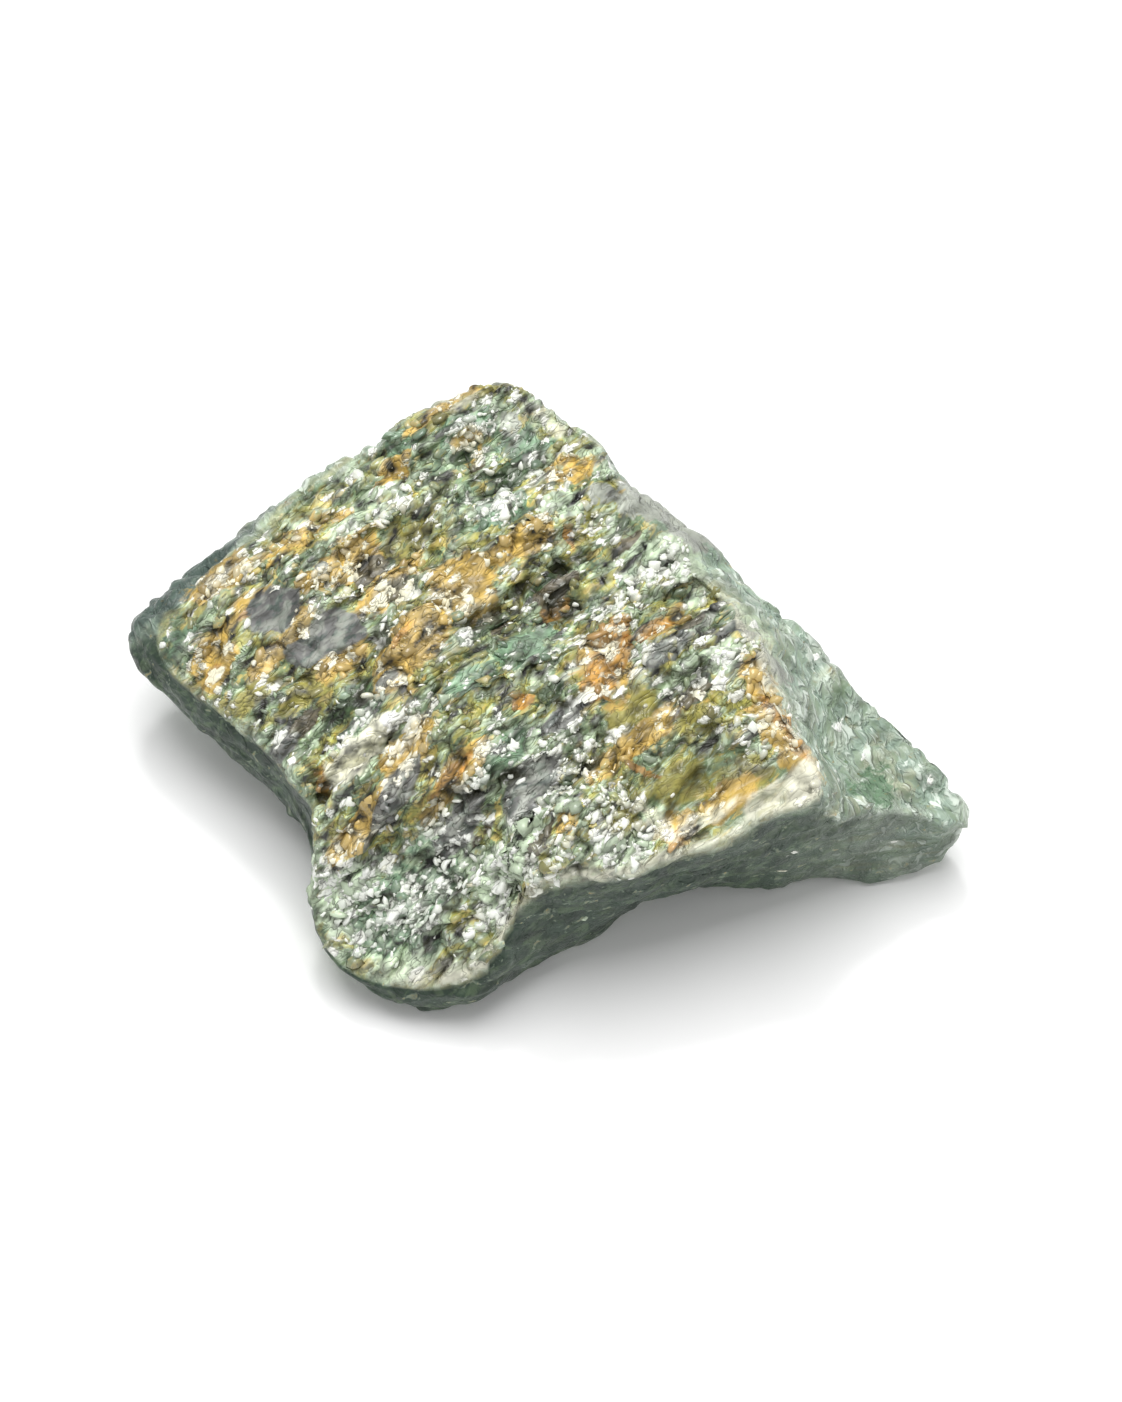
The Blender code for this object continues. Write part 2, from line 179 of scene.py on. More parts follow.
# Stains in the order they are laid: (x, y, half length, half width, strength), then the turn from the
# grain in degrees, if any. The last two aren't colours: they say where the mica sparkles or is smooth.
STAINS = {
    "mint": (
        (-8.4, -16, 3.6, 2.2, 1), (-11.8, -15, 1.6, 2.4, 0.9), (-3.6, -15.2, 1.8, 1.2, 0.9, 10),
        (2.2, -14.8, 2.6, 1.2, 0.9, -10), (5, 0.8, 2.6, 1.6, 0.7, -30), (-11.2, -7.8, 1.8, 0.9, 0.7),
        (-3.2, -10, 2.6, 0.6, 0.7), (-11, 4.6, 2.8, 1, 0.6), (-14.2, 4.4, 1.8, 0.7, 0.6),
        (-0.2, 4.2, 1.2, 0.9, 0.8), (-3.8, 10.4, 1.6, 0.8, 0.7), (0.8, 7, 0.9, 1.8, 0.6),
        (-6.1, -1.4, 1.3, 0.8, 0.8), (7.8, -5.4, 1.4, 0.8, 0.6), (-2.2, -3.2, 2.6, 0.5, 0.5),
        (9.6, -3.2, 1.6, 0.5, 0.6, -85), (-0.6, -13, 1.2, 0.7, 0.8), (-7.5, 5, 5, 2.4, 0.46),
    ),
    "olive": (
        (-13.2, -4.5, 2.4, 0.8, 1), (-16.2, -4.8, 1.8, 0.7, 0.9), (-19.3, 0.2, 1.8, 0.6, 0.8),
        (-8.4, 3.2, 2.8, 1.1, 0.8), (-10.6, 1, 0.9, 0.5, 1), (2.5, -8.2, 1.7, 1.2, 1),
        (5.8, -8, 2.4, 1, 0.8), (5.2, -11.7, 1.8, 0.8, 0.7, -15), (8.4, -11.6, 1.4, 0.9, 1),
        (2.2, -13.8, 1.2, 0.7, 0.8), (-6.2, 10.6, 2, 0.8, 0.8), (-4.2, 11.6, 1.6, 0.9, 0.8, -30),
        (-13.5, 5.9, 1.8, 0.6, 0.5), (-0.4, 8.6, 1, 1.6, 0.6), (-6, 6.3, 2.4, 0.6, 0.6),
        (-16.6, 2.9, 2.4, 0.5, 0.6), (-5.8, -4.2, 1.8, 0.5, 0.6),
    ),
    "teal": (
        (-8.6, 8.7, 1.2, 0.7, 0.8), (-5, 9.4, 1.6, 0.8, 0.8), (-3.6, 4.3, 1.5, 1.2, 0.9),
        (-2.2, 8.3, 1.3, 1.1, 0.9), (-2.4, -4, 2.4, 1.1, 0.8), (-5, -6.2, 2.2, 0.7, 0.7),
        (-20.9, 1.2, 1.5, 0.9, 0.9), (-21, -1.6, 1.4, 1, 0.8), (-11.6, -5.9, 1.7, 0.7, 0.7),
        (-6.9, 0.2, 0.9, 0.7, 0.6), (-9, -15.8, 3.4, 2, 0.6), (1, -5.4, 1.2, 0.5, 0.6),
        (-11, -7.2, 2.2, 0.7, 0.7), (15.6, -9.6, 1.6, 1.3, 0.65), (-3.9, -10.3, 1.5, 0.6, 0.6),
        (-5, 6.6, 4.6, 2.4, 0.42), (0.2, -3, 5, 1.8, 0.40),
    ),
    "ash": (
        (4.8, 3.9, 3.4, 1.3, 0.9, -75), (1.9, 5, 1, 0.8, 0.7, -40), (-2.7, 9.8, 0.55, 0.4, 0.9),
        (6.4, -3.4, 1.4, 0.5, 0.6), (9.6, -4.6, 2.2, 0.7, 0.7, -85), (0.6, -4.9, 1.8, 0.5, 0.6),
    ),
    "slate": (
        (-20.2, 2, 3.6, 1.2, 1), (-21.7, -0.6, 1.1, 1.3, 0.8), (-17, 5, 2.4, 0.8, 0.6),
    ),
    "ochre": (
        (-18, 1.8, 2, 1, 1), (-16.6, 0, 1.1, 0.62, 0.9), (-11.7, 1.8, 2.5, 1, 1, -5),
        (-14, -1.2, 0.9, 0.44, 1, -30), (-9.8, -0.1, 2.2, 0.75, 0.9), (-5.4, -0.3, 1.7, 1.88, 1),
        (-8.2, -3.6, 2.5, 1.38, 1, 10), (-12, -3.7, 1.5, 0.62, 0.9, -5), (-18.4, -3.2, 1.4, 0.75, 1),
        (-15, -2.7, 1.6, 0.75, 0.9), (-18.2, -1.6, 2.2, 0.5, 0.8), (-2.6, 1.9, 2.3, 0.75, 0.9, -5),
        (3.3, -9.4, 3, 0.75, 0.85, -5), (9.5, -6.8, 1.8, 0.88, 0.8, -95), (10.9, -10.6, 2.8, 0.88, 1, -88),
        (7.4, -12.6, 1.6, 0.88, 0.8), (-8.2, -9, 1.8, 1, 0.85, 5), (-11, -12.3, 2, 0.62, 0.9, -5),
        (-6.3, -11, 2, 0.56, 0.8, 5), (-0.8, -13.7, 0.9, 0.5, 0.6), (1.3, -10.9, 1.5, 0.75, 0.6),
        (-9, 7.1, 1, 0.62, 0.9), (-11.9, 4.8, 0.7, 0.5, 0.8), (0.2, 6.6, 1.4, 1, 0.7, -60),
        (-5, 8.5, 0.9, 0.62, 0.7, 20), (-5.8, 11.2, 2.5, 0.5, 0.7), (-14.6, 3.2, 2.8, 0.75, 0.55),
        (4.9, -14.2, 1, 0.75, 0.9), (1.4, -5.4, 2.6, 1.4, 0.8, 50), (4.4, -3.4, 1.8, 0.8, 0.7),
    ),
    "deep": (
        (-8.8, 0.1, 0.9, 0.4, 0.8), (-2.6, 7, 1, 0.5, 0.9, -20), (-4.4, 5.3, 1.2, 0.5, 0.7, 20),
        (-5.3, 8.1, 0.9, 0.3, 0.8), (4.8, 0.3, 0.9, 0.5, 0.7, -20), (-4.6, -2.8, 1.9, 0.45, 0.9),
        (-1.6, -0.6, 1.8, 0.45, 1, 5), (-11.8, -6.3, 1.8, 0.7, 0.8), (-1.8, -7.4, 1.2, 0.5, 0.7),
        (6, -7.2, 1.1, 0.5, 0.9), (-7.2, 6.3, 1.2, 0.3, 0.6), (-9.8, 1.6, 0.8, 0.35, 0.8),
        (-9.4, -11.9, 1.6, 0.4, 1), (-14.4, -7, 1.7, 0.6, 0.9), (5.9, -3.5, 0.9, 0.4, 0.7),
        (2.6, 2.8, 0.8, 0.35, 0.7, 20), (-5.3, -13.9, 1.1, 0.4, 0.5), (-0.4, -11.4, 1.2, 0.4, 0.6, 10),
        (-3.5, -5.2, 1.5, 0.3, 0.6),
    ),
    "rust": (
        (1.9, -4.5, 1.6, 0.9, 1, 30), (3.9, -3.6, 1.3, 0.6, 0.9), (1.2, -6.3, 1.6, 0.9, 1, 40),
        (-0.1, 2.6, 0.75, 0.3, 1, 60), (10.2, -8.8, 1.3, 0.4, 1, -95), (11, -10.4, 1, 0.35, 0.9, -88),
        (4.8, -14.5, 0.7, 0.45, 0.9), (-1, -1.5, 1, 0.45, 0.9), (-2.7, -7.4, 0.6, 0.35, 0.9),
        (-6.4, -10.9, 1, 0.3, 0.8), (-13, -9.9, 0.9, 0.4, 0.7, 60), (3, -11.2, 1.1, 0.25, 0.7, -60),
        (-16.4, -0.4, 1.3, 0.25, 0.6), (-8.6, -3.2, 0.8, 0.3, 0.7), (-14.9, 6.2, 1.4, 0.4, 0.8),
        (-6, 12.2, 1.2, 0.4, 0.6), (-18.6, -3.4, 0.6, 0.35, 0.7),
    ),
    "cream": (
        (-11.3, -9.1, 1.9, 1.1, 1, -8), (-10.2, -8, 1, 0.7, 0.9), (9.6, -12.8, 2, 0.6, 0.7, -12),
        (11.4, -12.2, 1.5, 1, 1), (6.2, -13.6, 1.6, 0.5, 0.7, -12), (3.8, -13.8, 0.5, 1.4, 0.7),
        (-8.3, -8.8, 1.1, 0.4, 0.6), (10.3, -6.4, 1.6, 0.35, 0.6, -95), (-5, 10.9, 1.2, 0.5, 0.5),
        (-0.2, 10.2, 1.6, 0.9, 0.6, -60), (-18.2, 1.9, 1, 0.4, 0.6), (-11.7, 0, 0.6, 0.4, 0.7),
    ),
    "umber": (
        (-0.9, -0.7, 1.5, 0.55, 1), (-10.5, 1.3, 1, 0.5, 1), (-9.3, -11.7, 1.6, 0.4, 0.9),
        (5.9, -7.3, 0.9, 0.4, 0.8), (5.7, -3.7, 1.1, 0.3, 0.9), (-12.9, 1.5, 0.45, 0.35, 0.9),
        (-14.2, -0.7, 1.4, 0.2, 0.7, -30), (-3.4, -2.4, 1.6, 0.25, 0.8), (3, 1.9, 1, 0.3, 0.7),
        (-9.4, 0.2, 0.8, 0.3, 0.7), (-4.6, 7.6, 0.8, 0.25, 0.6), (-14, -6.8, 1.6, 0.5, 0.8),
        (-4.8, -13.2, 1, 0.3, 0.6), (-2, -14.4, 0.9, 0.35, 0.7, 20),
    ),
    "violet": (
        (-15.3, -0.7, 1.35, 1.2, 1), (-12.2, -2.1, 1.35, 1.25, 1), (-13.9, -3.1, 1, 0.65, 1, -30),
        (-2.6, -11.7, 2, 0.9, 0.9, 8), (-6, -12.8, 1.8, 0.8, 0.8, 5), (-9.1, -11.2, 1.7, 0.5, 0.85, 8),
        (4.5, -5.2, 1.5, 0.5, 0.7), (8, -3.8, 1.2, 0.5, 0.7), (-9.5, -5.3, 0.7, 0.4, 0.8),
        (-0.8, -8.3, 1.5, 0.6, 0.7), (-12.9, 1.4, 0.5, 0.3, 0.9), (-15.2, -8, 1.5, 0.6, 0.7),
    ),
    "sparkle": (
        (6, 1, 1.5, 1, 1, -30), (3.8, -0.7, 2, 0.8, 1, -15), (1.6, -2.2, 1, 0.5, 1), (1.2, 3.4, 1, 0.5, 0.9),
        (8, -5.2, 1.3, 0.7, 1), (9.2, -9.5, 1.3, 0.9, 1, -40), (-6.1, -1.2, 1.2, 0.8, 1),
        (-9.3, -1.7, 1.4, 0.6, 1), (-21.2, 0.2, 1, 0.35, 1), (-10.4, 4, 2.6, 0.9, 0.9),
        (-17.6, 1.8, 1.8, 0.7, 0.9), (-0.3, -11.2, 1.8, 0.9, 1, 15), (1.6, -13.4, 1.8, 1.2, 1),
        (2, -15.4, 2, 0.6, 1, -10), (-1.6, -15.4, 1.6, 0.8, 1), (-4.6, -15.4, 1.4, 1.2, 0.9),
        (-8, -15.6, 2, 1.2, 0.9), (-11.2, -16, 1.4, 1.4, 0.7), (-3.8, 4.5, 1.2, 0.9, 0.9),
        (-5, 9.3, 1.2, 0.5, 0.9), (-7, -12.3, 1, 0.5, 0.8), (-11.2, -7.5, 2, 0.6, 0.7),
        (-4.4, -10.1, 1.8, 0.5, 0.8), (-12.3, 1.2, 2, 0.6, 0.8), (-8.4, -8.6, 1.5, 0.6, 0.8),
        (-1.6, 7.4, 0.9, 0.5, 0.8), (1.6, -4, 1, 0.4, 0.8), (-12.4, -13.6, 0.8, 1.2, 0.6),
        (-1.4, -9.6, 2, 0.5, 0.7), (10.2, -10.2, 0.8, 0.5, 0.9, -60),
    ),
    "smooth": (
        (-15.3, -0.7, 1.4, 1.2, 1), (-12.2, -2.1, 1.4, 1.3, 1), (-13.9, -3.1, 1, 0.6, 0.9, -30),
        (3.6, 3.8, 3.4, 1.1, 0.55, -75), (5.8, -11.4, 2.8, 1.3, 0.7, -22), (2.5, -8.2, 1.6, 1.2, 0.55),
        (-11.3, -9.1, 1.8, 0.9, 0.5, -8), (9, -12.6, 3, 1.1, 1, -12), (-5.3, -0.2, 1, 0.9, 0.5),
        (-20.9, -1, 1.2, 1.2, 0.6), (-2.6, -11.7, 1.4, 0.6, 0.6, 8), (-18.4, -3.3, 1, 0.5, 0.8),
    ),
}
COLOUR_STAINS = tuple(STAINS)[:-2]

# How ragged a stain's edge is, where it isn't 1.
EDGE_RAGGEDNESS = {"violet": 0.45, "smooth": 0.45, "teal": 1.3, "sparkle": 1.3}


def hashed(cell, seed):
    """A fixed number from 0 to 1 for each whole-numbered point of space, by mixing its bits."""
    mixed = cell[..., 0] * 73856093 ^ cell[..., 1] * 19349663 ^ cell[..., 2] * 83492791 ^ seed * 2654435
    mixed = (mixed ^ (mixed >> 13)) * 1274126177 & 0xFFFFFFFF
    mixed = (mixed ^ (mixed >> 16)) * 2246822519 & 0xFFFFFFFF
    return (mixed ^ (mixed >> 15) & 0xFFFFFF) % 65536 / 65535.0


def noise(points, seed):
    """Smooth noise from -1 to 1: the hashed numbers of the eight cell corners, eased between."""
    cell = np.floor(points).astype(np.int64)
    part = points - cell
    ease = part ** 3 * (part * (part * 6 - 15) + 10)
    total = np.zeros(len(points))
    for corner in np.ndindex(2, 2, 2):
        share = np.prod(np.where(corner, ease, 1 - ease), axis=1)
        total += share * hashed(cell + np.array(corner), seed)
    return total * 2 - 1


def scattered(points, seed):
    """Flakes scattered one to a unit cell. For each point: the way from the nearest flake's middle, and
    three fixed random numbers of that flake."""
    cell = np.floor(points).astype(np.int64)
    nearest = np.full(len(points), 9.0)
    away = np.zeros((len(points), 3))
    owner = np.zeros((len(points), 3), dtype=np.int64)
    for step in np.ndindex(3, 3, 3):
        near = cell + np.array(step) - 1
        middle = near + np.stack([hashed(near, seed + axis) for axis in range(3)], axis=1)
        offset = points - middle
        distance = np.sqrt((offset ** 2).sum(axis=1))
        closer = distance < nearest
        nearest = np.where(closer, distance, nearest)
        away[closer] = offset[closer]
        owner[closer] = near[closer]
    chance = np.stack([hashed(owner, seed + 7 + k) for k in range(3)], axis=1)
    return away, chance


def pushes(points, length, seed):
    """A push along each axis for each point, from three noises with lumps of the length."""
    return np.stack([noise(points / length, seed + axis) for axis in range(3)], axis=1)


def eased(value, low, high):
    """0 below low, 1 above high, and a smooth S between."""
    share = np.clip((value - low) / (high - low), 0, 1)
    return share * share * (3 - 2 * share)


def outline(points, angle):
    """The radius and the height of an outline at each angle, in a straight run between its points."""
    points = np.array(points)
    offset = points[:, :2] - CENTRE
    around = np.arctan2(offset[:, 1], offset[:, 0])
    radius = np.hypot(offset[:, 0], offset[:, 1])
    height = points[:, 2] if points.shape[1] > 2 else np.full(len(points), -BELOW_FLOOR)
    turn = 2 * math.pi
    return np.interp(angle, around, radius, period=turn), np.interp(angle, around, height, period=turn)


def folded(x, y, height):
    """The height of the mica face, brought down to its tilted part where that lies lower."""
    tilted = SLOPE_POINT[2] + SLOPE_RISE[0] * (x - SLOPE_POINT[0]) + SLOPE_RISE[1] * (y - SLOPE_POINT[1])
    tilted = tilted + STEP_RISE * np.maximum(x - STEP_X, 0)
    share = np.clip(0.5 + (tilted - height) / (2 * FOLD), 0, 1)
    return tilted + (height - tilted) * share - FOLD * share * (1 - share)


def surface(angle, station):
    """The stone's surface before its relief. Station runs 0 at the top's middle, 1 at the rim, 2 at the
    foot and 3 at the underside's middle; the outlines are joined by straight lines in between."""
    rings = [outline(points, angle) for points in (RIM, WAIST, SHOULDER, FOOT, REST)]
    inward = np.clip(station, 0, 1)
    radius = inward * rings[0][0]
    height = CROWN_HEIGHT + (rings[0][1] - CROWN_HEIGHT) * inward ** CROWN_FLATNESS
    x = CENTRE[0] + radius * np.cos(angle)
    y = CENTRE[1] + radius * np.sin(angle)
    height = folded(x, y, height)
    rings[0] = (radius, height)
    for place, after, ring, following in zip(STATIONS, STATIONS[1:], rings, rings[1:]):
        share = np.clip((station - place) / (after - place), 0, 1)
        below = station > place
        radius = np.where(below, ring[0] + (following[0] - ring[0]) * share, radius)
        height = np.where(below, ring[1] + (following[1] - ring[1]) * share, height)
    under = station > STATIONS[-1]
    radius = np.where(under, rings[-1][0] * (3 - station) / (3 - STATIONS[-1]), radius)
    x = CENTRE[0] + radius * np.cos(angle)
    y = CENTRE[1] + radius * np.sin(angle)
    return np.stack([x, y, height], axis=1)


def worn_surface(angle, station):
    """The surface averaged over a small patch round each point, which rounds its edges."""
    total = np.zeros((len(angle), 3))
    taps = [(i, j) for i in (-1, -0.5, 0, 0.5, 1) for j in (-1, 0, 1)]
    for i, j in taps:
        moved = np.clip(station + i * EDGE_ROUNDING, 0, 3)
        total += surface(angle + j * TURN_ROUNDING, moved)
    return total / len(taps)


def along_grain(points, long, across, up, turn=GRAIN_TURN):
    """The points turned so that X runs along the crumples, or another way, then divided by a length for
    each axis. The fine ribs of the mica run a little steeper than the crumples."""
    c, s = math.cos(turn), math.sin(turn)
    u = points[:, 0] * c + points[:, 1] * s
    v = points[:, 1] * c - points[:, 0] * s
    return np.stack([u / long, v / across, points[:, 2] / up], axis=1)


def crevice_depth(points):
    """How deep the crevices cut at each point: a V along a line, fading at its ends."""
    depth = np.zeros(len(points))
    for x0, y0, x1, y1, half_width, deepest in CREVICES:
        run = np.array([x1 - x0, y1 - y0])
        offset = points[:, :2] - (x0, y0)
        share = np.clip(offset @ run / (run @ run), 0, 1)
        wander = 0.5 * noise(points / 1.7, 31)
        away = np.hypot(*(offset - share[:, None] * run).T + wander) / half_width
        depth += deepest * np.clip(1 - away, 0, 1) * np.sin(math.pi * np.clip(share, 0.08, 0.92))
    return depth


def relief(points, upward):
    """How far the worn surface is raised: crumples and broken layers on the mica face, weak steps
    along the layers on the breaks, and broad lumps everywhere. Upward is 1 on the mica face."""
    broad = 0.45 * noise(points / 6.0, 1) + 0.22 * noise(points / 2.6, 2)
    crumples = 0.5 - np.abs(noise(along_grain(points, 7.0, 2.3, 6.0), 3))
    layers = noise(along_grain(points, 9.0, 4.2, 6.0), 4) * 3.2
    step = np.floor(layers)
    layers = (step + np.clip((layers - step) * 2 - 1, 0, 1)) * 0.3
    face = (0.9 * crumples + layers) * np.clip(points[:, 2] / FULL_RELIEF, 0.35, 1) - crevice_depth(points)
    breaks = 0.18 * noise(along_grain(points, 5.0, 5.0, 0.9), 5)
    return broad + face * upward + breaks * (1 - upward)


def stain(points, name):
    """From 0 to 1, how much of a stain each point has: soft ellipses along the grain, with edges that
    noise drawn out along the grain makes ragged."""
    ragged = 0.40 * noise(along_grain(points, 1.7, 0.6, 1.4, MICA_TURN), 51)
    ragged += 0.20 * noise(points / 0.5, 52)
    rough_edge = EDGE_RAGGEDNESS.get(name, 1.0)
    most = np.zeros(len(points))
    for x, y, half_length, half_width, strength, *turned in STAINS[name]:
        a = MICA_TURN + math.radians(sum(turned))
        along = (points[:, 0] - x) * math.cos(a) + (points[:, 1] - y) * math.sin(a)
        across = (points[:, 1] - y) * math.cos(a) - (points[:, 0] - x) * math.sin(a)
        reach = 1.25 - np.hypot(along / half_length, across / half_width) + ragged * rough_edge
        most = np.maximum(most, strength * eased(reach, -0.15, 0.55))
    return most


def mica_relief(points, upward, front, smooth, sparkle):
    """The fine relief of the mica and what it leaves to the colour. The points are first pushed about by
    noise, so that nothing runs straight. The rock is squeezed into long ribs along the grain, with short
    lumps and beads on them: the root of a noise without its sign, which is round on top and sharp in the
    creases. Plates give each patch its own lift and tilt. The breaks have thin steps along the layers,
    chips and short dashes. Returns the rise in millimetres, a tone for the neighbourhood, how much painted
    shade the point gets as it lies in a crease, and how much painted highlight it gets as it lies on a
    crest."""
    coarse = 1 - 0.85 * smooth
    pushed = points + 0.55 * pushes(points, 1.9, 71) + 1.3 * pushes(points, 6.0, 75)
    away, chance = scattered(along_grain(pushed, *PLATE, MICA_TURN), 11)
    lean = (chance[:, 1] - 0.5) * away[:, 0] + (chance[:, 2] - 0.5) * away[:, 1]
    plates = PLATE_RISE * (chance[:, 0] - 0.5) + PLATE_LEAN * lean
    ribs = np.abs(noise(along_grain(pushed, *RIB, MICA_TURN), 17))
    lumps = np.abs(noise(along_grain(pushed, *LUMP, MICA_TURN), 23))
    lumpy = 0.35 + 0.65 * eased(noise(points / 2.3, 24), -0.4, 0.4)
    ribbed = 0.45 + 0.55 * eased(noise(points / 4.0, 26), -0.5, 0.3)
    rise = plates + RIB_RISE * ribbed * np.sqrt(ribs + 0.015)
    rise = rise + LUMP_RISE * lumpy * np.sqrt(lumps + 0.02) - FACE_SUNK
    whirled = points + 0.25 * pushes(points, 0.8, 81)
    beads = np.abs(noise(along_grain(whirled, *BEAD, MICA_TURN), 29))
    beady = 0.25 + 0.75 * sparkle
    rise += BEAD_RISE * beady * (np.sqrt(beads + 0.02) - 0.4)
    rise *= coarse
    # Painted highlight: the crests of the ribs, lumps and beads are later screened toward the glint colour.
    crest = 0.5 * eased(ribs, 0.25, 0.6) * eased(lumps, 0.15, 0.45) + eased(beads, 0.15, 0.45) * beady
    crest *= coarse
    crease = (1 - eased(ribs, 0.0, 0.13)) * eased(noise(points / 1.6, 25), -0.4, 0.3)
    crease = np.maximum(crease, 0.6 * (1 - eased(lumps, 0.0, 0.12)) * lumpy)
    crease = np.maximum(crease, 0.45 * (1 - eased(beads, 0.0, 0.14)) * beady)
    # Painted shade: the creases and crevices are given a darker colour, as if in shadow.
    hollow = np.clip(crease * coarse + crevice_depth(points), 0, 1)
    tone = 0.5 + 0.5 * noise(along_grain(pushed, 1.1, 0.6, 0.7, MICA_TURN), 41)
    layers = LAYER_RISE * noise(along_grain(pushed, *LAYER), 19)
    layers += ROUGHNESS_RISE * noise(points / ROUGHNESS, 20)
    chips = CHIP_DEPTH * np.clip(noise(points / CHIP, 21) - 0.35, 0, 1)
    dashes = np.sqrt(np.abs(noise(along_grain(pushed, *RIDGE_DASH, RIDGE_TURN), 22)))
    side = layers * (1 + 0.7 * front) - chips + RIDGE_DASH_RISE * (1 - front) * dashes
    return rise * upward + side * (1 - upward), tone, hollow * upward, crest * upward


def skin_parameters():
    """The skin's two parameters at every vertex, its angle and its station, and its faces. The top is a
    square grid bent to the outline, the breaks are rows round it, and a fan closes the underside."""
    n = TOP_CELLS
    line = np.linspace(-1, 1, n + 1)
    a, b = np.meshgrid(line, line, indexing="ij")
    turned = np.interp(np.degrees(np.arctan2(b, a)), CUBE_CORNERS, STONE_CORNERS)
    ring = np.maximum(np.abs(a), np.abs(b))
    index = np.arange((n + 1) ** 2).reshape(n + 1, n + 1)
    top = np.stack([index[:-1, :-1], index[1:, :-1], index[1:, 1:], index[:-1, 1:]], axis=-1).reshape(-1, 4)
    rim = np.concatenate([index[0, :0:-1], index[:-1, 0], index[-1, :-1], index[:0:-1, -1]])
    rim_angle = turned.ravel()[rim]
    stations = np.concatenate([
        np.linspace(low, high, rows + 1)[1:] for low, high, rows in BREAK_ROWS
    ])
    around = len(rim)
    first = (n + 1) ** 2
    rows = np.vstack([rim, first + np.arange(len(stations) * around).reshape(-1, around)])
    after = np.roll(rows, -1, axis=1)
    sides = np.stack([rows[:-1], rows[1:], after[1:], after[:-1]], axis=-1).reshape(-1, 4)
    pole = first + len(stations) * around
    fan = np.stack([rows[-1], np.full(around, pole), after[-1]], axis=1)
    angle = np.concatenate([turned.ravel(), np.tile(rim_angle, len(stations)), [0.0]])
    station = np.concatenate([ring.ravel(), np.repeat(stations, around), [3.0]])
    return np.radians(angle), station, [top, sides, fan]


def as_mesh(name, points, face_sets):
    """A mesh from points in metres and arrays of faces, each array with one number of corners."""
    mesh = bpy.data.meshes.new(name)
    corners = np.concatenate([faces.ravel() for faces in face_sets])
    counts = np.concatenate([np.full(len(faces), faces.shape[1]) for faces in face_sets])
    mesh.vertices.add(len(points))
    mesh.vertices.foreach_set("co", points.ravel())
    mesh.loops.add(len(corners))
    mesh.loops.foreach_set("vertex_index", corners.astype(np.int32))
    mesh.polygons.add(len(counts))
    mesh.polygons.foreach_set("loop_start", (np.cumsum(counts) - counts).astype(np.int32))
    mesh.update(calc_edges=True)
    mesh.validate()
    return mesh


def normals_of(mesh):
    """The mesh's vertex normals as an array."""
    normals = np.empty(len(mesh.vertices) * 3)
    mesh.vertices.foreach_get("normal", normals)
    return normals.reshape(-1, 3)


def raised(mesh, points, rise):
    """Moves every point along its vertex normal by its rise, in the mesh's own units."""
    mesh.vertices.foreach_set("co", points.ravel())
    mesh.update()
    return points + normals_of(mesh) * rise[:, None]


def paint(mesh, values):
    """Stores each named array of numbers on the mesh, one for each vertex."""
    for name, numbers in values.items():
        layer = mesh.attributes.new(name, "FLOAT", "POINT")
        layer.data.foreach_set("value", np.asarray(numbers, dtype=np.float32))


def colour_masks(points):
    """Every colour stain's amount at each point, by name."""
    return {name: stain(points, name) for name in COLOUR_STAINS}


def placed(name, data):
    """A new object in the scene, at the origin."""
    made = bpy.data.objects.new(name, data)
    bpy.context.scene.collection.objects.link(made)
    return made


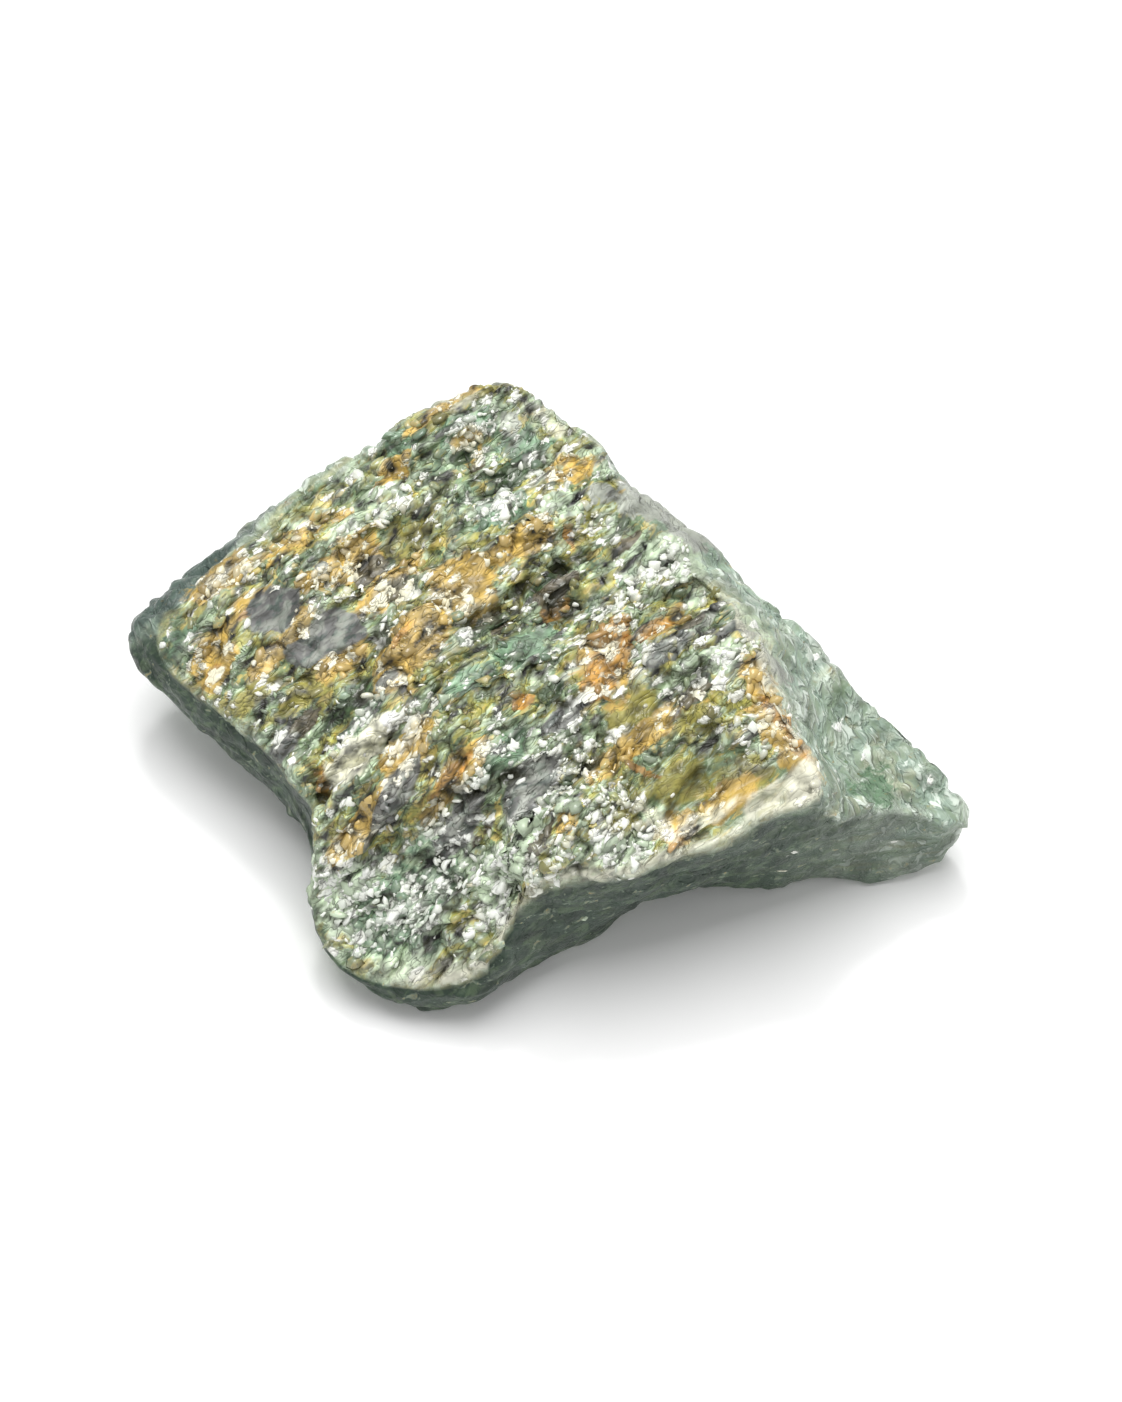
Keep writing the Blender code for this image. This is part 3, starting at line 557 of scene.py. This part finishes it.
def make_body():
    """The stone's skin: surface, crumples, then the mica's relief, each along the normals of the last.
    The part below the floor plane is pressed flat onto it, as the solid's resting spot is."""
    angle, station, face_sets = skin_parameters()
    base = worn_surface(angle, station)
    mesh = as_mesh("schist_body", base, face_sets)
    upward = np.clip((FACE_END - station) / FACE_FADE, 0, 1)
    calm = 1 - RIM_CALM * np.exp(-((station - CALM_STATION) / CALM_WIDTH) ** 2)
    fade = np.clip((CRUMPLES_END - station) / CRUMPLES_FADE, 0, 1)
    points = raised(mesh, base, relief(base, upward) * calm * fade)
    masks = colour_masks(base)
    smooth, sparkle = stain(base, "smooth"), stain(base, "sparkle")
    facing = normals_of(mesh)[:, :2] @ BREAK_FACING
    # Partly painted shade: the breaks that face the front and the left, away from the lamps, are given a
    # dark colour as well as their own darker mineral.
    front = eased(facing + 0.25 * noise(base / 2.0, 61), 0.10, 0.55) * (1 - upward)
    over_front = eased(facing, -0.1, 0.5) * eased(base[:, 0], -12.0, -6.0)
    over_flank = 0.9 * eased(normals_of(mesh)[:, 0], 0.1, 0.4) * eased(-base[:, 1], -4.0, 4.0)
    edge = np.exp(-((station - 1) / PALE_EDGE_WIDTH) ** 2) * np.maximum(over_front, over_flank)
    fine, tone, hollow, crest = mica_relief(points, upward, front, smooth, sparkle)
    fade = np.clip((FINE_END - station) / FINE_FADE, 0, 1)
    points = raised(mesh, points, fine * fade)
    points[:, 2] = np.maximum(points[:, 2], 0)
    low, high = points.min(axis=0), points.max(axis=0)
    solid_low, solid_high = (np.array(corner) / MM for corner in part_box(NODE))
    shift = (solid_low + solid_high - low - high) / 2
    shift[2] = 0
    mesh.vertices.foreach_set("co", ((points + shift) * MM).ravel())
    mesh.update()
    # Where the painted glints of the specks gather: where it sparkles, on crests and in ochre.
    specks = 0.22 + 0.48 * sparkle + 0.32 * crest + 0.24 * masks["ochre"]
    specks *= 0.45 + 0.85 * eased(noise(base / 2.6, 95), -0.45, 0.4)
    specks = specks * (1 - smooth) * (0.10 + 0.90 * upward) * (1 - 0.85 * front)
    shown = (1 - 0.95 * front) * (1 - eased(station, STAINS_FADE, STAINS_END))
    masks = {key: value * shown for key, value in masks.items()}
    masks["cream"] *= upward
    for warm in ("ochre", "rust", "olive", "umber"):
        masks[warm] *= 0.15 + 0.85 * upward
    masks["front"] = front * (1 - 0.42 * eased(base[:, 0], 8.0, 19.0))
    hollow *= 1 - 0.8 * masks["cream"]
    masks["lumpy"] = (1 - 0.65 * smooth * shown) * upward
    masks.update(face=upward, tone=tone, hollow=hollow, crest=crest, edge=edge, specks=specks)
    paint(mesh, masks)
    mesh.shade_smooth()
    return placed("schist_body", mesh), points, base, upward, shift


def make_grains(name, body_parts, count, seed, sizes, height, tilt, sink, wanted):
    """Small rounded grains set in the skin. Each sits on a face of the skin picked at random by how much
    it is wanted there, leans from that face's normal by a random tilt, and is drawn out roughly along
    the grain. All grains are one array of corners: an uneven foot ring, a smaller ring above it and a
    top that is a little off its middle."""
    body, points, base, upward, shift = body_parts
    rng = np.random.default_rng(seed)
    mesh = body.data
    quad_count = TOP_CELLS ** 2 + 4 * TOP_CELLS * sum(rows for _, _, rows in BREAK_ROWS[:4])
    corners = np.empty(len(mesh.loops), dtype=np.int32)
    mesh.loops.foreach_get("vertex_index", corners)
    quads = corners[: quad_count * 4].reshape(-1, 4)
    a, b, c, d = (points[quads[:, k]] for k in range(4))
    cross = np.cross(c - a, d - b)
    area = np.linalg.norm(cross, axis=1) / 2
    normal = cross / (2 * area[:, None] + 1e-12)
    flat = base[quads].mean(axis=1)
    on_face = upward[quads].mean(axis=1)
    chosen_by = area * wanted(flat, on_face)
    picked = rng.choice(quad_count, size=count, p=chosen_by / chosen_by.sum())
    centre = ((a + b + c + d) / 4)[picked] + rng.normal(0, GRAIN_STRAY, (count, 3))
    up = normal[picked] + rng.normal(0, tilt, (count, 3))
    up /= np.linalg.norm(up, axis=1)[:, None]
    along = np.array([math.cos(MICA_TURN), math.sin(MICA_TURN), 0])
    along = along + rng.normal(0, GRAIN_WANDER, (count, 3))
    side = np.cross(up, along)
    side /= np.linalg.norm(side, axis=1)[:, None]
    front = np.cross(side, up)
    size = sizes[0] + (sizes[1] - sizes[0]) * rng.uniform(0, 1, count) ** 1.8
    narrow = rng.uniform(0.38, 0.85, count)
    turn = np.arange(GRAIN_SIDES) * 2 * math.pi / GRAIN_SIDES
    reach = rng.uniform(0.6, 1.3, (count, GRAIN_SIDES)) * size[:, None] / 2
    ring = (
        front[:, None] * (np.cos(turn) * reach)[..., None]
        + side[:, None] * (np.sin(turn) * reach * narrow[:, None])[..., None]
    )
    tall = (size * height * rng.uniform(0.7, 1.3, count))[:, None, None] * up[:, None]
    foot = centre[:, None] - sink * tall + ring
    waist = centre[:, None] + (WAIST_HEIGHT - sink) * tall + WAIST_WIDTH * ring
    off = rng.normal(0, 0.15, (count, 2)) * size[:, None]
    top = centre[:, None] + (1 - sink) * tall + (front * off[:, :1] + side * off[:, 1:])[:, None]
    corner_points = np.concatenate([foot, waist, top], axis=1).reshape(-1, 3)
    corner_points[:, 2] = np.maximum(corner_points[:, 2], LOWEST_GRAIN)
    k = np.arange(GRAIN_SIDES)
    after = (k + 1) % GRAIN_SIDES
    each = 2 * GRAIN_SIDES + 1
    walls = np.stack([k, after, after + GRAIN_SIDES, k + GRAIN_SIDES], axis=1)
    cap = np.stack([k + GRAIN_SIDES, after + GRAIN_SIDES, np.full(GRAIN_SIDES, each - 1)], axis=1)
    start = np.arange(count)[:, None, None] * each
    grains = as_mesh(name, (corner_points + shift) * MM, [
        (start + faces).reshape(-1, faces.shape[-1]) for faces in (k[::-1], walls, cap)
    ])
    masks = {key: np.repeat(value, each) for key, value in colour_masks(flat[picked]).items()}
    masks["face"] = np.repeat(on_face[picked], each)
    masks["tone"] = np.repeat(rng.uniform(0, 1, count), each)
    paint(grains, masks)
    grains.shade_smooth()
    return placed(name, grains)


# Materials.

COLOURS = {
    "sage": (0.33, 0.32, 0.105), "sea": (0.165, 0.225, 0.13), "mint": (0.45, 0.54, 0.39),
    "tan": (0.55, 0.42, 0.15), "moss": (0.07, 0.08, 0.022), "grey_green": (0.47, 0.54, 0.45),
    # On the next line, the dark green of the front break is partly painted shade.
    "grey_teal": (0.33, 0.42, 0.345), "front_shade_green": (0.036, 0.056, 0.040), "ochre": (0.45, 0.32, 0.11),
    "rust": (0.42, 0.245, 0.085), "violet": (0.145, 0.145, 0.140), "olive": (0.245, 0.225, 0.07),
    "deep": (0.05, 0.08, 0.038), "teal": (0.15, 0.235, 0.15), "cream": (0.78, 0.77, 0.62),
    # On the next line, the frost colour of the dashes on the breaks is a painted glint.
    "dash_glint": (0.72, 0.79, 0.71), "ash": (0.34, 0.36, 0.31), "slate": (0.075, 0.105, 0.09),
    # On the next line, the darkest colour is painted shade for the creases, and the palest is a painted
    # glint, as is the straw colour after it.
    "umber": (0.075, 0.062, 0.036), "hollow": (0.022, 0.022, 0.006), "glint_pale": (0.94, 0.96, 0.87),
    "glint_straw": (0.96, 0.91, 0.68),
}

# Forms of the colour and the bump: how long, wide and tall each is in millimetres, and for a noise its
# detail, roughness and swirl.
FORMS = {
    "cloud": (3.6, 1.3, 1.5, 3.0, 0.55, 0.0), "streak": (1.9, 0.6, 0.8, 3.0, 0.6, 0.6),
    "fleck": (0.75, 0.42, 0.5, 3.0, 0.55, 0.5), "blotch": (1.15, 0.62, 0.7, 2.0, 0.5, 0.4),
    "band": (7.0, 5.0, 0.9, 3.0, 0.6, 0.4), "ridge dash": (1.0, 0.55, 0.6, 2.0, 0.5, 0.9),
    "small lump": (1.05, 0.52, 0.6, 1.2, 0.5, 0.8), "thread": (0.9, 0.34, 0.4, 2.0, 0.5, 0.0),
    "hair": (0.28, 0.12, 0.15, 2.0, 0.6, 0.0), "fine speck": (0.80, 0.52, 0.6),
    "coarse speck": (1.45, 0.85, 0.9),
}

# A stain's edge in the colours: how much the flecks break it, and where it fades in.
STAIN_EDGES = {"violet": (1.1, 0.30, 0.62), "ochre": (1.7, 0.20, 0.66), "olive": (1.5, 0.25, 0.85),
               "cream": (0.9, 0.15, 1.0), "slate": (1.6, 0.10, 1.0), "other": (1.3, 0.30, 0.68)}


class Nodes:
    """Short ways to add and link the nodes of one tree."""

    def __init__(self, tree):
        self.tree = tree

    def add(self, kind, **settings):
        node = self.tree.nodes.new(kind)
        for name, value in settings.items():
            setattr(node, name, value)
        return node

    def put(self, socket, value):
        """Links a socket, or sets a number, a vector or a colour, which may be given by its name."""
        if isinstance(value, bpy.types.NodeSocket):
            self.tree.links.new(value, socket)
        elif socket.type == "RGBA":
            socket.default_value = (*COLOURS.get(value, value), 1.0)
        else:
            socket.default_value = value

    def fill(self, node, **values):
        """Puts each value into the node's input of that name, an underscore standing for a space."""
        for name, value in values.items():
            self.put(node.inputs[name.replace("_", " ")], value)
        return node

    def use(self, tree, **values):
        return self.fill(self.add("ShaderNodeGroup", node_tree=tree), **values).outputs

    def attribute(self, name):
        return self.add("ShaderNodeAttribute", attribute_name=name).outputs["Fac"]

    def maths(self, operation, first, second=0.0):
        node = self.add("ShaderNodeMath", operation=operation)
        self.put(node.inputs[0], first)
        self.put(node.inputs[1], second)
        return node.outputs[0]

    times = partialmethod(maths, "MULTIPLY")
    plus = partialmethod(maths, "ADD")
    minus = partialmethod(maths, "SUBTRACT")
    most = partialmethod(maths, "MAXIMUM")

    def spread(self, value, low, high, to_low=0.0, to_high=1.0):
        """One number below low, another above high, and a smooth S between."""
        node = self.add("ShaderNodeMapRange", interpolation_type="SMOOTHSTEP")
        self.fill(node, Value=value, From_Min=low, From_Max=high, To_Min=to_low, To_Max=to_high)
        return node.outputs["Result"]

    def mix(self, share, first, second, blend="MIX"):
        node = self.add("ShaderNodeMix", data_type="RGBA", blend_type=blend)
        self.put(node.inputs[0], share)
        self.put(node.inputs[6], first)
        self.put(node.inputs[7], second)
        return node.outputs[2]

    def noise(self, where, detail, rough, swirl=0.0, scale=1.0):
        node = self.add("ShaderNodeTexNoise")
        self.fill(node, Vector=where, Scale=scale, Detail=detail, Roughness=rough, Distortion=swirl)
        return node.outputs["Fac"]

    def grain(self, form):
        """Object coordinates in millimetres, turned to the form's direction and divided by its lengths."""
        turn = RIDGE_TURN if form.startswith("ridge") else MICA_TURN
        where = self.add("ShaderNodeTexCoord").outputs["Object"]
        turned = self.fill(self.add("ShaderNodeMapping"), Vector=where, Rotation=(0, 0, -turn))
        scale = tuple(1 / (MM * length) for length in FORMS[form][:3])
        return self.fill(self.add("ShaderNodeMapping"), Vector=turned.outputs[0], Scale=scale).outputs[0]

    def form(self, name):
        """The noise of a form."""
        return self.noise(self.grain(name), *FORMS[name][3:])

    def laid_over(self, colour, *layers):
        """Colours laid over one another. A layer is a value, where it fades in, how much, and a colour."""
        for value, low, high, share, name in layers:
            colour = self.mix(self.spread(value, low, high, 0.0, share), colour, name)
        return colour


def group(name, inputs, outputs):
    """An empty shader node group: its inputs are numbers with a value each, and so are its outputs but
    for one called Color. Returns the tree, its helper, what it is given and its output node."""
    tree = bpy.data.node_groups.new(name, "ShaderNodeTree")
    for socket, value in inputs.items():
        made = tree.interface.new_socket(socket, in_out="INPUT", socket_type="NodeSocketFloat")
        made.default_value = value
    for socket in outputs:
        kind = "NodeSocketColor" if socket == "Color" else "NodeSocketFloat"
        tree.interface.new_socket(socket, in_out="OUTPUT", socket_type=kind)
    nodes = Nodes(tree)
    return tree, nodes, nodes.add("NodeGroupInput").outputs, nodes.add("NodeGroupOutput")


def lumps_group():
    """The smallest lumps of the mica, below the size that the skin can show: a noise drawn out along the
    grain, folded at its middle value, so that it is round on top and sharp in the creases. Gives their
    height from 0 to about 0.6, and a mask of the creases, where the colour is darkened as painted shade."""
    tree, nodes, _, out = group("mica lumps", {}, ("Height", "Crease"))
    swirled = nodes.form("small lump")
    folded_over = nodes.maths("ABSOLUTE", nodes.minus(swirled, 0.5))
    height = nodes.maths("SQRT", nodes.times(folded_over, 2.0))
    nodes.fill(out, Height=height, Crease=nodes.spread(folded_over, 0.030, 0.0))
    return tree


def blobs(nodes, form, gathering):
    """Rounded blobs one to a cell, of uneven size, pushed about by noise and drawn out along the grain.
    Each has a number of its own, and it is there where that number is under the gathering. Gives how far
    inside the edge of the nearest one a point lies, or a low number where that one isn't there."""
    where = nodes.grain(form)
    push = nodes.add("ShaderNodeVectorMath", operation="MULTIPLY_ADD")
    nodes.put(push.inputs[0], nodes.noise(where, 2.0, 0.6, scale=1.3).node.outputs["Color"])
    nodes.put(push.inputs[1], (1.3, 1.3, 1.3))
    nodes.put(push.inputs[2], where)
    cells = nodes.fill(nodes.add("ShaderNodeTexVoronoi"), Vector=push.outputs[0], Scale=1.0)
    chance = nodes.fill(nodes.add("ShaderNodeSeparateColor"), Color=cells.outputs["Color"])
    missing = nodes.maths("GREATER_THAN", chance.outputs[0], gathering)
    reach = nodes.plus(nodes.times(chance.outputs[1], 0.30), 0.26)
    return nodes.minus(nodes.minus(reach, cells.outputs["Distance"]), missing)


def specks_group():
    """Small bright specks, too fine to model, whose near-white colour is a painted glint: fine blobs and
    fewer coarse ones, as thick as the gathering says. Gives their mask, with a faint halo round each that is
    a painted glow, and a rounded height."""
    tree, nodes, given, out = group("mica specks", {"Gathering": 0.0}, ("Mask", "Height"))
    fine = blobs(nodes, "fine speck", given["Gathering"])
    coarse = blobs(nodes, "coarse speck", nodes.times(given["Gathering"], 0.6))
    inside = nodes.most(fine, coarse)
    halo = nodes.spread(inside, -0.30, 0.02, 0.0, 0.18)
    nodes.fill(out, Mask=nodes.most(nodes.spread(inside, -0.03, 0.06), halo))
    nodes.fill(out, Height=nodes.maths("SQRT", nodes.most(inside, 0.0)))
    return tree


def rock_colour(nodes, streak, fleck):
    """The rock without its stains: on the mica face sage and sea green clouds with mint, tan and moss
    streaks, on the breaks grey green ones with bands and frosty dashes that are painted glints, and a dark
    front break, whose darkness is partly its own and partly painted shade."""
    cloud = nodes.form("cloud")
    bands = nodes.form("band")
    dashes = nodes.form("ridge dash")
    top = nodes.mix(nodes.spread(cloud, 0.43, 0.57), "sage", "sea")
    top = nodes.laid_over(top, (streak, 0.52, 0.60, 0.85, "mint"), (streak, 0.44, 0.37, 0.6, "tan"),
                          (fleck, 0.56, 0.64, 0.7, "moss"))
    side = nodes.mix(nodes.spread(cloud, 0.38, 0.62), "grey_green", "grey_teal")
    # Painted glints: the pale frost dashes along the ridge on the breaks.
    side = nodes.laid_over(side, (bands, 0.50, 0.64, 0.55, "sea"), (bands, 0.46, 0.34, 0.20, "tan"),
                           (dashes, 0.57, 0.66, 0.8, "dash_glint"), (dashes, 0.47, 0.36, 0.5, "sea"))
    # Partly painted shade: the front break's dark green stands for its shade as well as its own darker
    # colour.
    dark = nodes.laid_over("front_shade_green", (streak, 0.45, 0.65, 0.35, "sea"),
                           (fleck, 0.60, 0.68, 0.45, "grey_teal"))
    side = nodes.mix(nodes.attribute("front"), side, dark)
    return nodes.mix(nodes.attribute("face"), side, top)


def stained(nodes, colour, fleck, blotch):
    """The stains laid over a colour in their order, each with its edge broken by the flecks. The violet
    ones are mottled with slate and ash."""
    broken = nodes.minus(fleck, 0.5)
    for name in COLOUR_STAINS:
        strength, low, high = STAIN_EDGES.get(name, STAIN_EDGES["other"])
        amount = nodes.plus(nodes.attribute(name), nodes.times(broken, strength))
        colour = nodes.mix(nodes.spread(amount, low, high), colour, name)
    mottle = nodes.times(nodes.attribute("violet"), nodes.spread(fleck, 0.50, 0.60, 0.0, 0.8))
    colour = nodes.mix(mottle, colour, "slate")
    paler = nodes.times(nodes.attribute("violet"), nodes.spread(blotch, 0.46, 0.60, 0.0, 0.5))
    return nodes.mix(paler, colour, "ash")


def schist_colour_group(lumps_tree):
    """Colour of the rock at a point: the rock, its stains, each grain's own tone, painted highlights on the
    crests and painted glints in the specks, the pale edge of the front break and painted shade in the
    creases. Also says how dull the surface is."""
    inputs = {"Tone spread": 0.5, "Paleness": 0.0, "Specks": 0.0}
    tree, nodes, given, out = group("schist colour", inputs, ("Color", "Dullness"))
    streak = nodes.form("streak")
    fleck = nodes.form("fleck")
    blotch = nodes.form("blotch")
    colour = stained(nodes, rock_colour(nodes, streak, fleck), fleck, blotch)
    wobble = nodes.times(nodes.minus(blotch, 0.5), nodes.attribute("lumpy"))
    tone = nodes.minus(nodes.attribute("tone"), 0.5)
    lift = nodes.plus(nodes.times(tone, given["Tone spread"]), 1.0)
    lift = nodes.plus(lift, nodes.times(wobble, 5.2))
    brighter = nodes.fill(nodes.add("ShaderNodeHueSaturation"), Saturation=1.10, Value=lift, Color=colour)
    # Painted glints: each grain's paleness and the specks mix in the near-white glint colour, straw in
    # ochre.
    paleness = nodes.spread(nodes.attribute("tone"), 0.0, 0.8, 0.45, 1.0)
    glint_pale = nodes.most(nodes.times(given["Paleness"], paleness), given["Specks"])
    glint = nodes.mix(nodes.attribute("ochre"), "glint_pale", "glint_straw")
    # Painted highlight: the crests are screened toward the near-white glint colour.
    crest = nodes.times(nodes.attribute("crest"), 0.22)
    colour = nodes.mix(crest, brighter.outputs[0], glint, "SCREEN")
    colour = nodes.mix(glint_pale, colour, nodes.mix(0.95, colour, glint, "SCREEN"))
    edge = nodes.times(nodes.attribute("edge"), nodes.spread(streak, 0.35, 0.55, 0.3, 0.9))
    colour = nodes.mix(edge, colour, "cream")
    # Painted shade: the colour is darkened in the creases of the lumps and in the crevices.
    crease = nodes.times(nodes.use(lumps_tree)["Crease"], nodes.attribute("lumpy"))
    crease = nodes.most(nodes.attribute("hollow"), nodes.times(crease, 0.7))
    colour = nodes.mix(nodes.times(crease, 0.9), colour, "hollow")
    dull = nodes.most(nodes.spread(fleck, 0.35, 0.65), nodes.attribute("violet"))
    nodes.fill(out, Color=colour, Dullness=dull)
    return tree


def fine_grain_group(lumps_tree):
    """A height from 0 to about 1.5 for the finest grain: the small lumps, a noise drawn out along the
    grain, and on the breaks one drawn out along the ridge."""
    tree, nodes, _, out = group("fine mica grain", {}, ("Height",))
    threads = nodes.form("thread")
    hairs = nodes.form("hair")
    dashes = nodes.spread(nodes.form("ridge dash"), 0.38, 0.66, 0.0, 2.6)
    on_break = nodes.times(dashes, nodes.minus(1.0, nodes.attribute("face")))
    calm = nodes.minus(1.0, nodes.times(nodes.attribute("front"), 0.65))
    less = nodes.spread(nodes.attribute("face"), 0.0, 1.0, 0.45, 1.0)
    grain = nodes.times(nodes.plus(nodes.times(hairs, 0.35), threads), less)
    grain = nodes.plus(grain, nodes.times(on_break, calm))
    lumps = nodes.times(nodes.use(lumps_tree)["Height"], nodes.attribute("lumpy"))
    nodes.fill(out, Height=nodes.plus(grain, nodes.times(lumps, 2.0)))
    return tree


# Finishes: how far the tones spread, how much of the painted glint colour the grains take, how much the
# specks show, the roughness from shiny to dull, the specular level, the coat and the strength of the bump.
# The bright grains take the glint colour fully, as painted glints on real raised grains.
FINISHES = {
    "mica schist": (0.8, 0.0, 1.0, (0.28, 0.50), 0.35, 0.6, 0.8),
    "green mica": (0.9, 0.1, 0.0, (0.24, 0.36), 0.8, 0.4, 0.4),
    "bright mica": (0.2, 1.0, 0.0, (0.18, 0.30), 0.9, 0.4, 0.2),
}
COAT_ROUGHNESS = 0.16
BUMP_DEPTH = 0.08 * MM


def new_material(name):
    """A Principled material, the helper of its tree and its shader."""
    material = bpy.data.materials.new(name)
    material.use_nodes = True
    return material, Nodes(material.node_tree), material.node_tree.nodes["Principled BSDF"]


def make_material(name, trees):
    """A material that takes its colour and grain from the groups, with its own finish."""
    colour_tree, speck_tree, grain_tree = trees
    tone, glint_pale, showing, rough, specular, coat, strength = FINISHES[name]
    material, nodes, shader = new_material(name)
    speckled = nodes.use(speck_tree, Gathering=nodes.attribute("specks"))
    specks = nodes.times(speckled["Mask"], showing)
    colour = nodes.use(colour_tree, Tone_spread=tone, Paleness=glint_pale, Specks=specks)
    dull = nodes.most(nodes.attribute("front"), nodes.attribute("violet"))
    glossy = nodes.times(nodes.minus(1.0, dull), nodes.spread(specks, 0.0, 1.0, 0.35, 1.0))
    domes = nodes.times(speckled["Height"], 2.2 * showing)
    height = nodes.plus(nodes.use(grain_tree)["Height"], domes)
    bump = nodes.fill(nodes.add("ShaderNodeBump"), Strength=strength, Distance=BUMP_DEPTH, Height=height)
    nodes.fill(
        shader, Base_Color=colour["Color"], Roughness=nodes.spread(colour["Dullness"], 0.0, 1.0, *rough),
        Specular_IOR_Level=specular, Coat_Weight=nodes.times(glossy, coat), Coat_Roughness=COAT_ROUGHNESS,
        Normal=bump.outputs[0],
    )
    return material


lumps_tree = lumps_group()
trees = (schist_colour_group(lumps_tree), specks_group(), fine_grain_group(lumps_tree))


def wanted_green(flat, upward):
    """Green grains lie all over the mica face but for its smooth patches, and hardly on the breaks."""
    patchy = eased(noise(flat / 1.8, 91), -0.5, 0.4)
    return (1 - stain(flat, "smooth")) ** 2 * (0.01 + 0.99 * upward) * patchy


def wanted_bright(flat, upward):
    """Bright grains gather where the mica face sparkles."""
    return (0.05 + stain(flat, "sparkle")) * (1 - 0.95 * stain(flat, "smooth")) * upward


body_parts = make_body()
green = make_grains("green_grains", body_parts, 700, 5, (0.40, 1.2), 0.24, 0.18, 0.55, wanted_green)
# The bright grains are real raised grains whose near-white colour is a painted glint.
bright = make_grains("bright_grains", body_parts, 1300, 6, (0.25, 0.85), 0.30, 0.22, 0.50, wanted_bright)
for piece, finish in ((body_parts[0], "mica schist"), (green, "green mica"), (bright, "bright mica")):
    piece.data.materials.append(make_material(finish, trees))
    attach(piece, "root")
    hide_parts(NODE)


# The floor, the lamps and the camera.

FLOOR_REACH = 3.0


def make_floor():
    """A wide pale sheet under the stone."""
    square = FLOOR_REACH * np.array([(-1, -1, 0), (1, -1, 0), (1, 1, 0), (-1, 1, 0)])
    mesh = as_mesh("floor", square, [np.array([[0, 1, 2, 3]])])
    material, nodes, shader = new_material("white paper")
    nodes.fill(shader, Base_Color=(0.93, 0.93, 0.93), Roughness=0.9)
    mesh.materials.append(material)
    return placed("floor", mesh)


def make_light(name, azimuth, elevation, distance, size, watts):
    """A square lamp at a direction seen from the stone, turned towards it. Azimuth 0 is the front."""
    a, e = math.radians(azimuth), math.radians(elevation)
    back = Vector((math.sin(a) * math.cos(e), -math.cos(a) * math.cos(e), math.sin(e)))
    data = bpy.data.lights.new(name, "AREA")
    data.size = size
    data.energy = watts
    lamp = placed(name, data)
    lamp.location = back * distance
    lamp.rotation_mode = "QUATERNION"
    lamp.rotation_quaternion = (-back).to_track_quat("-Z", "Y")


# Where the photograph was taken from, in the row frame, its downward look, and the stone's middle.
EYE = Vector((-20.3, -113.9, 212.0)) * MM
LOOK_DOWN = math.radians(58.0)
AIM = Vector((0.6, -0.9, 6.0)) * MM


def make_camera():
    """A camera at the photograph's place. It is turned from the photograph's own direction to the
    stone's middle by the shortest way, so the stone keeps its lie in the picture."""
    data = bpy.data.cameras.new("camera")
    data.lens = 115.0
    data.sensor_width = 36.0
    data.clip_start = 0.01
    data.clip_end = 20.0
    camera = placed("camera", data)
    camera.location = EYE
    camera.rotation_mode = "QUATERNION"
    straight = Vector((0, math.cos(LOOK_DOWN), -math.sin(LOOK_DOWN)))
    level = Matrix.Rotation(math.pi / 2 - LOOK_DOWN, 3, "X").to_quaternion()
    camera.rotation_quaternion = straight.rotation_difference(AIM - EYE) @ level
    bpy.context.scene.camera = camera


floor = make_floor()
make_light("key", 200, 76, 2.0, 1.3, 31.5)
make_light("glint", 190, 60, 1.2, 0.14, 2.6)
make_light("front fill", -20, 60, 2.0, 1.4, 1.5)
world = bpy.data.worlds.new("studio")
world.use_nodes = True
Nodes(world.node_tree).fill(world.node_tree.nodes["Background"], Color=(1.0, 1.0, 1.0), Strength=0.50)
bpy.context.scene.world = world
bpy.context.scene.view_settings.view_transform = "Standard"
make_camera()
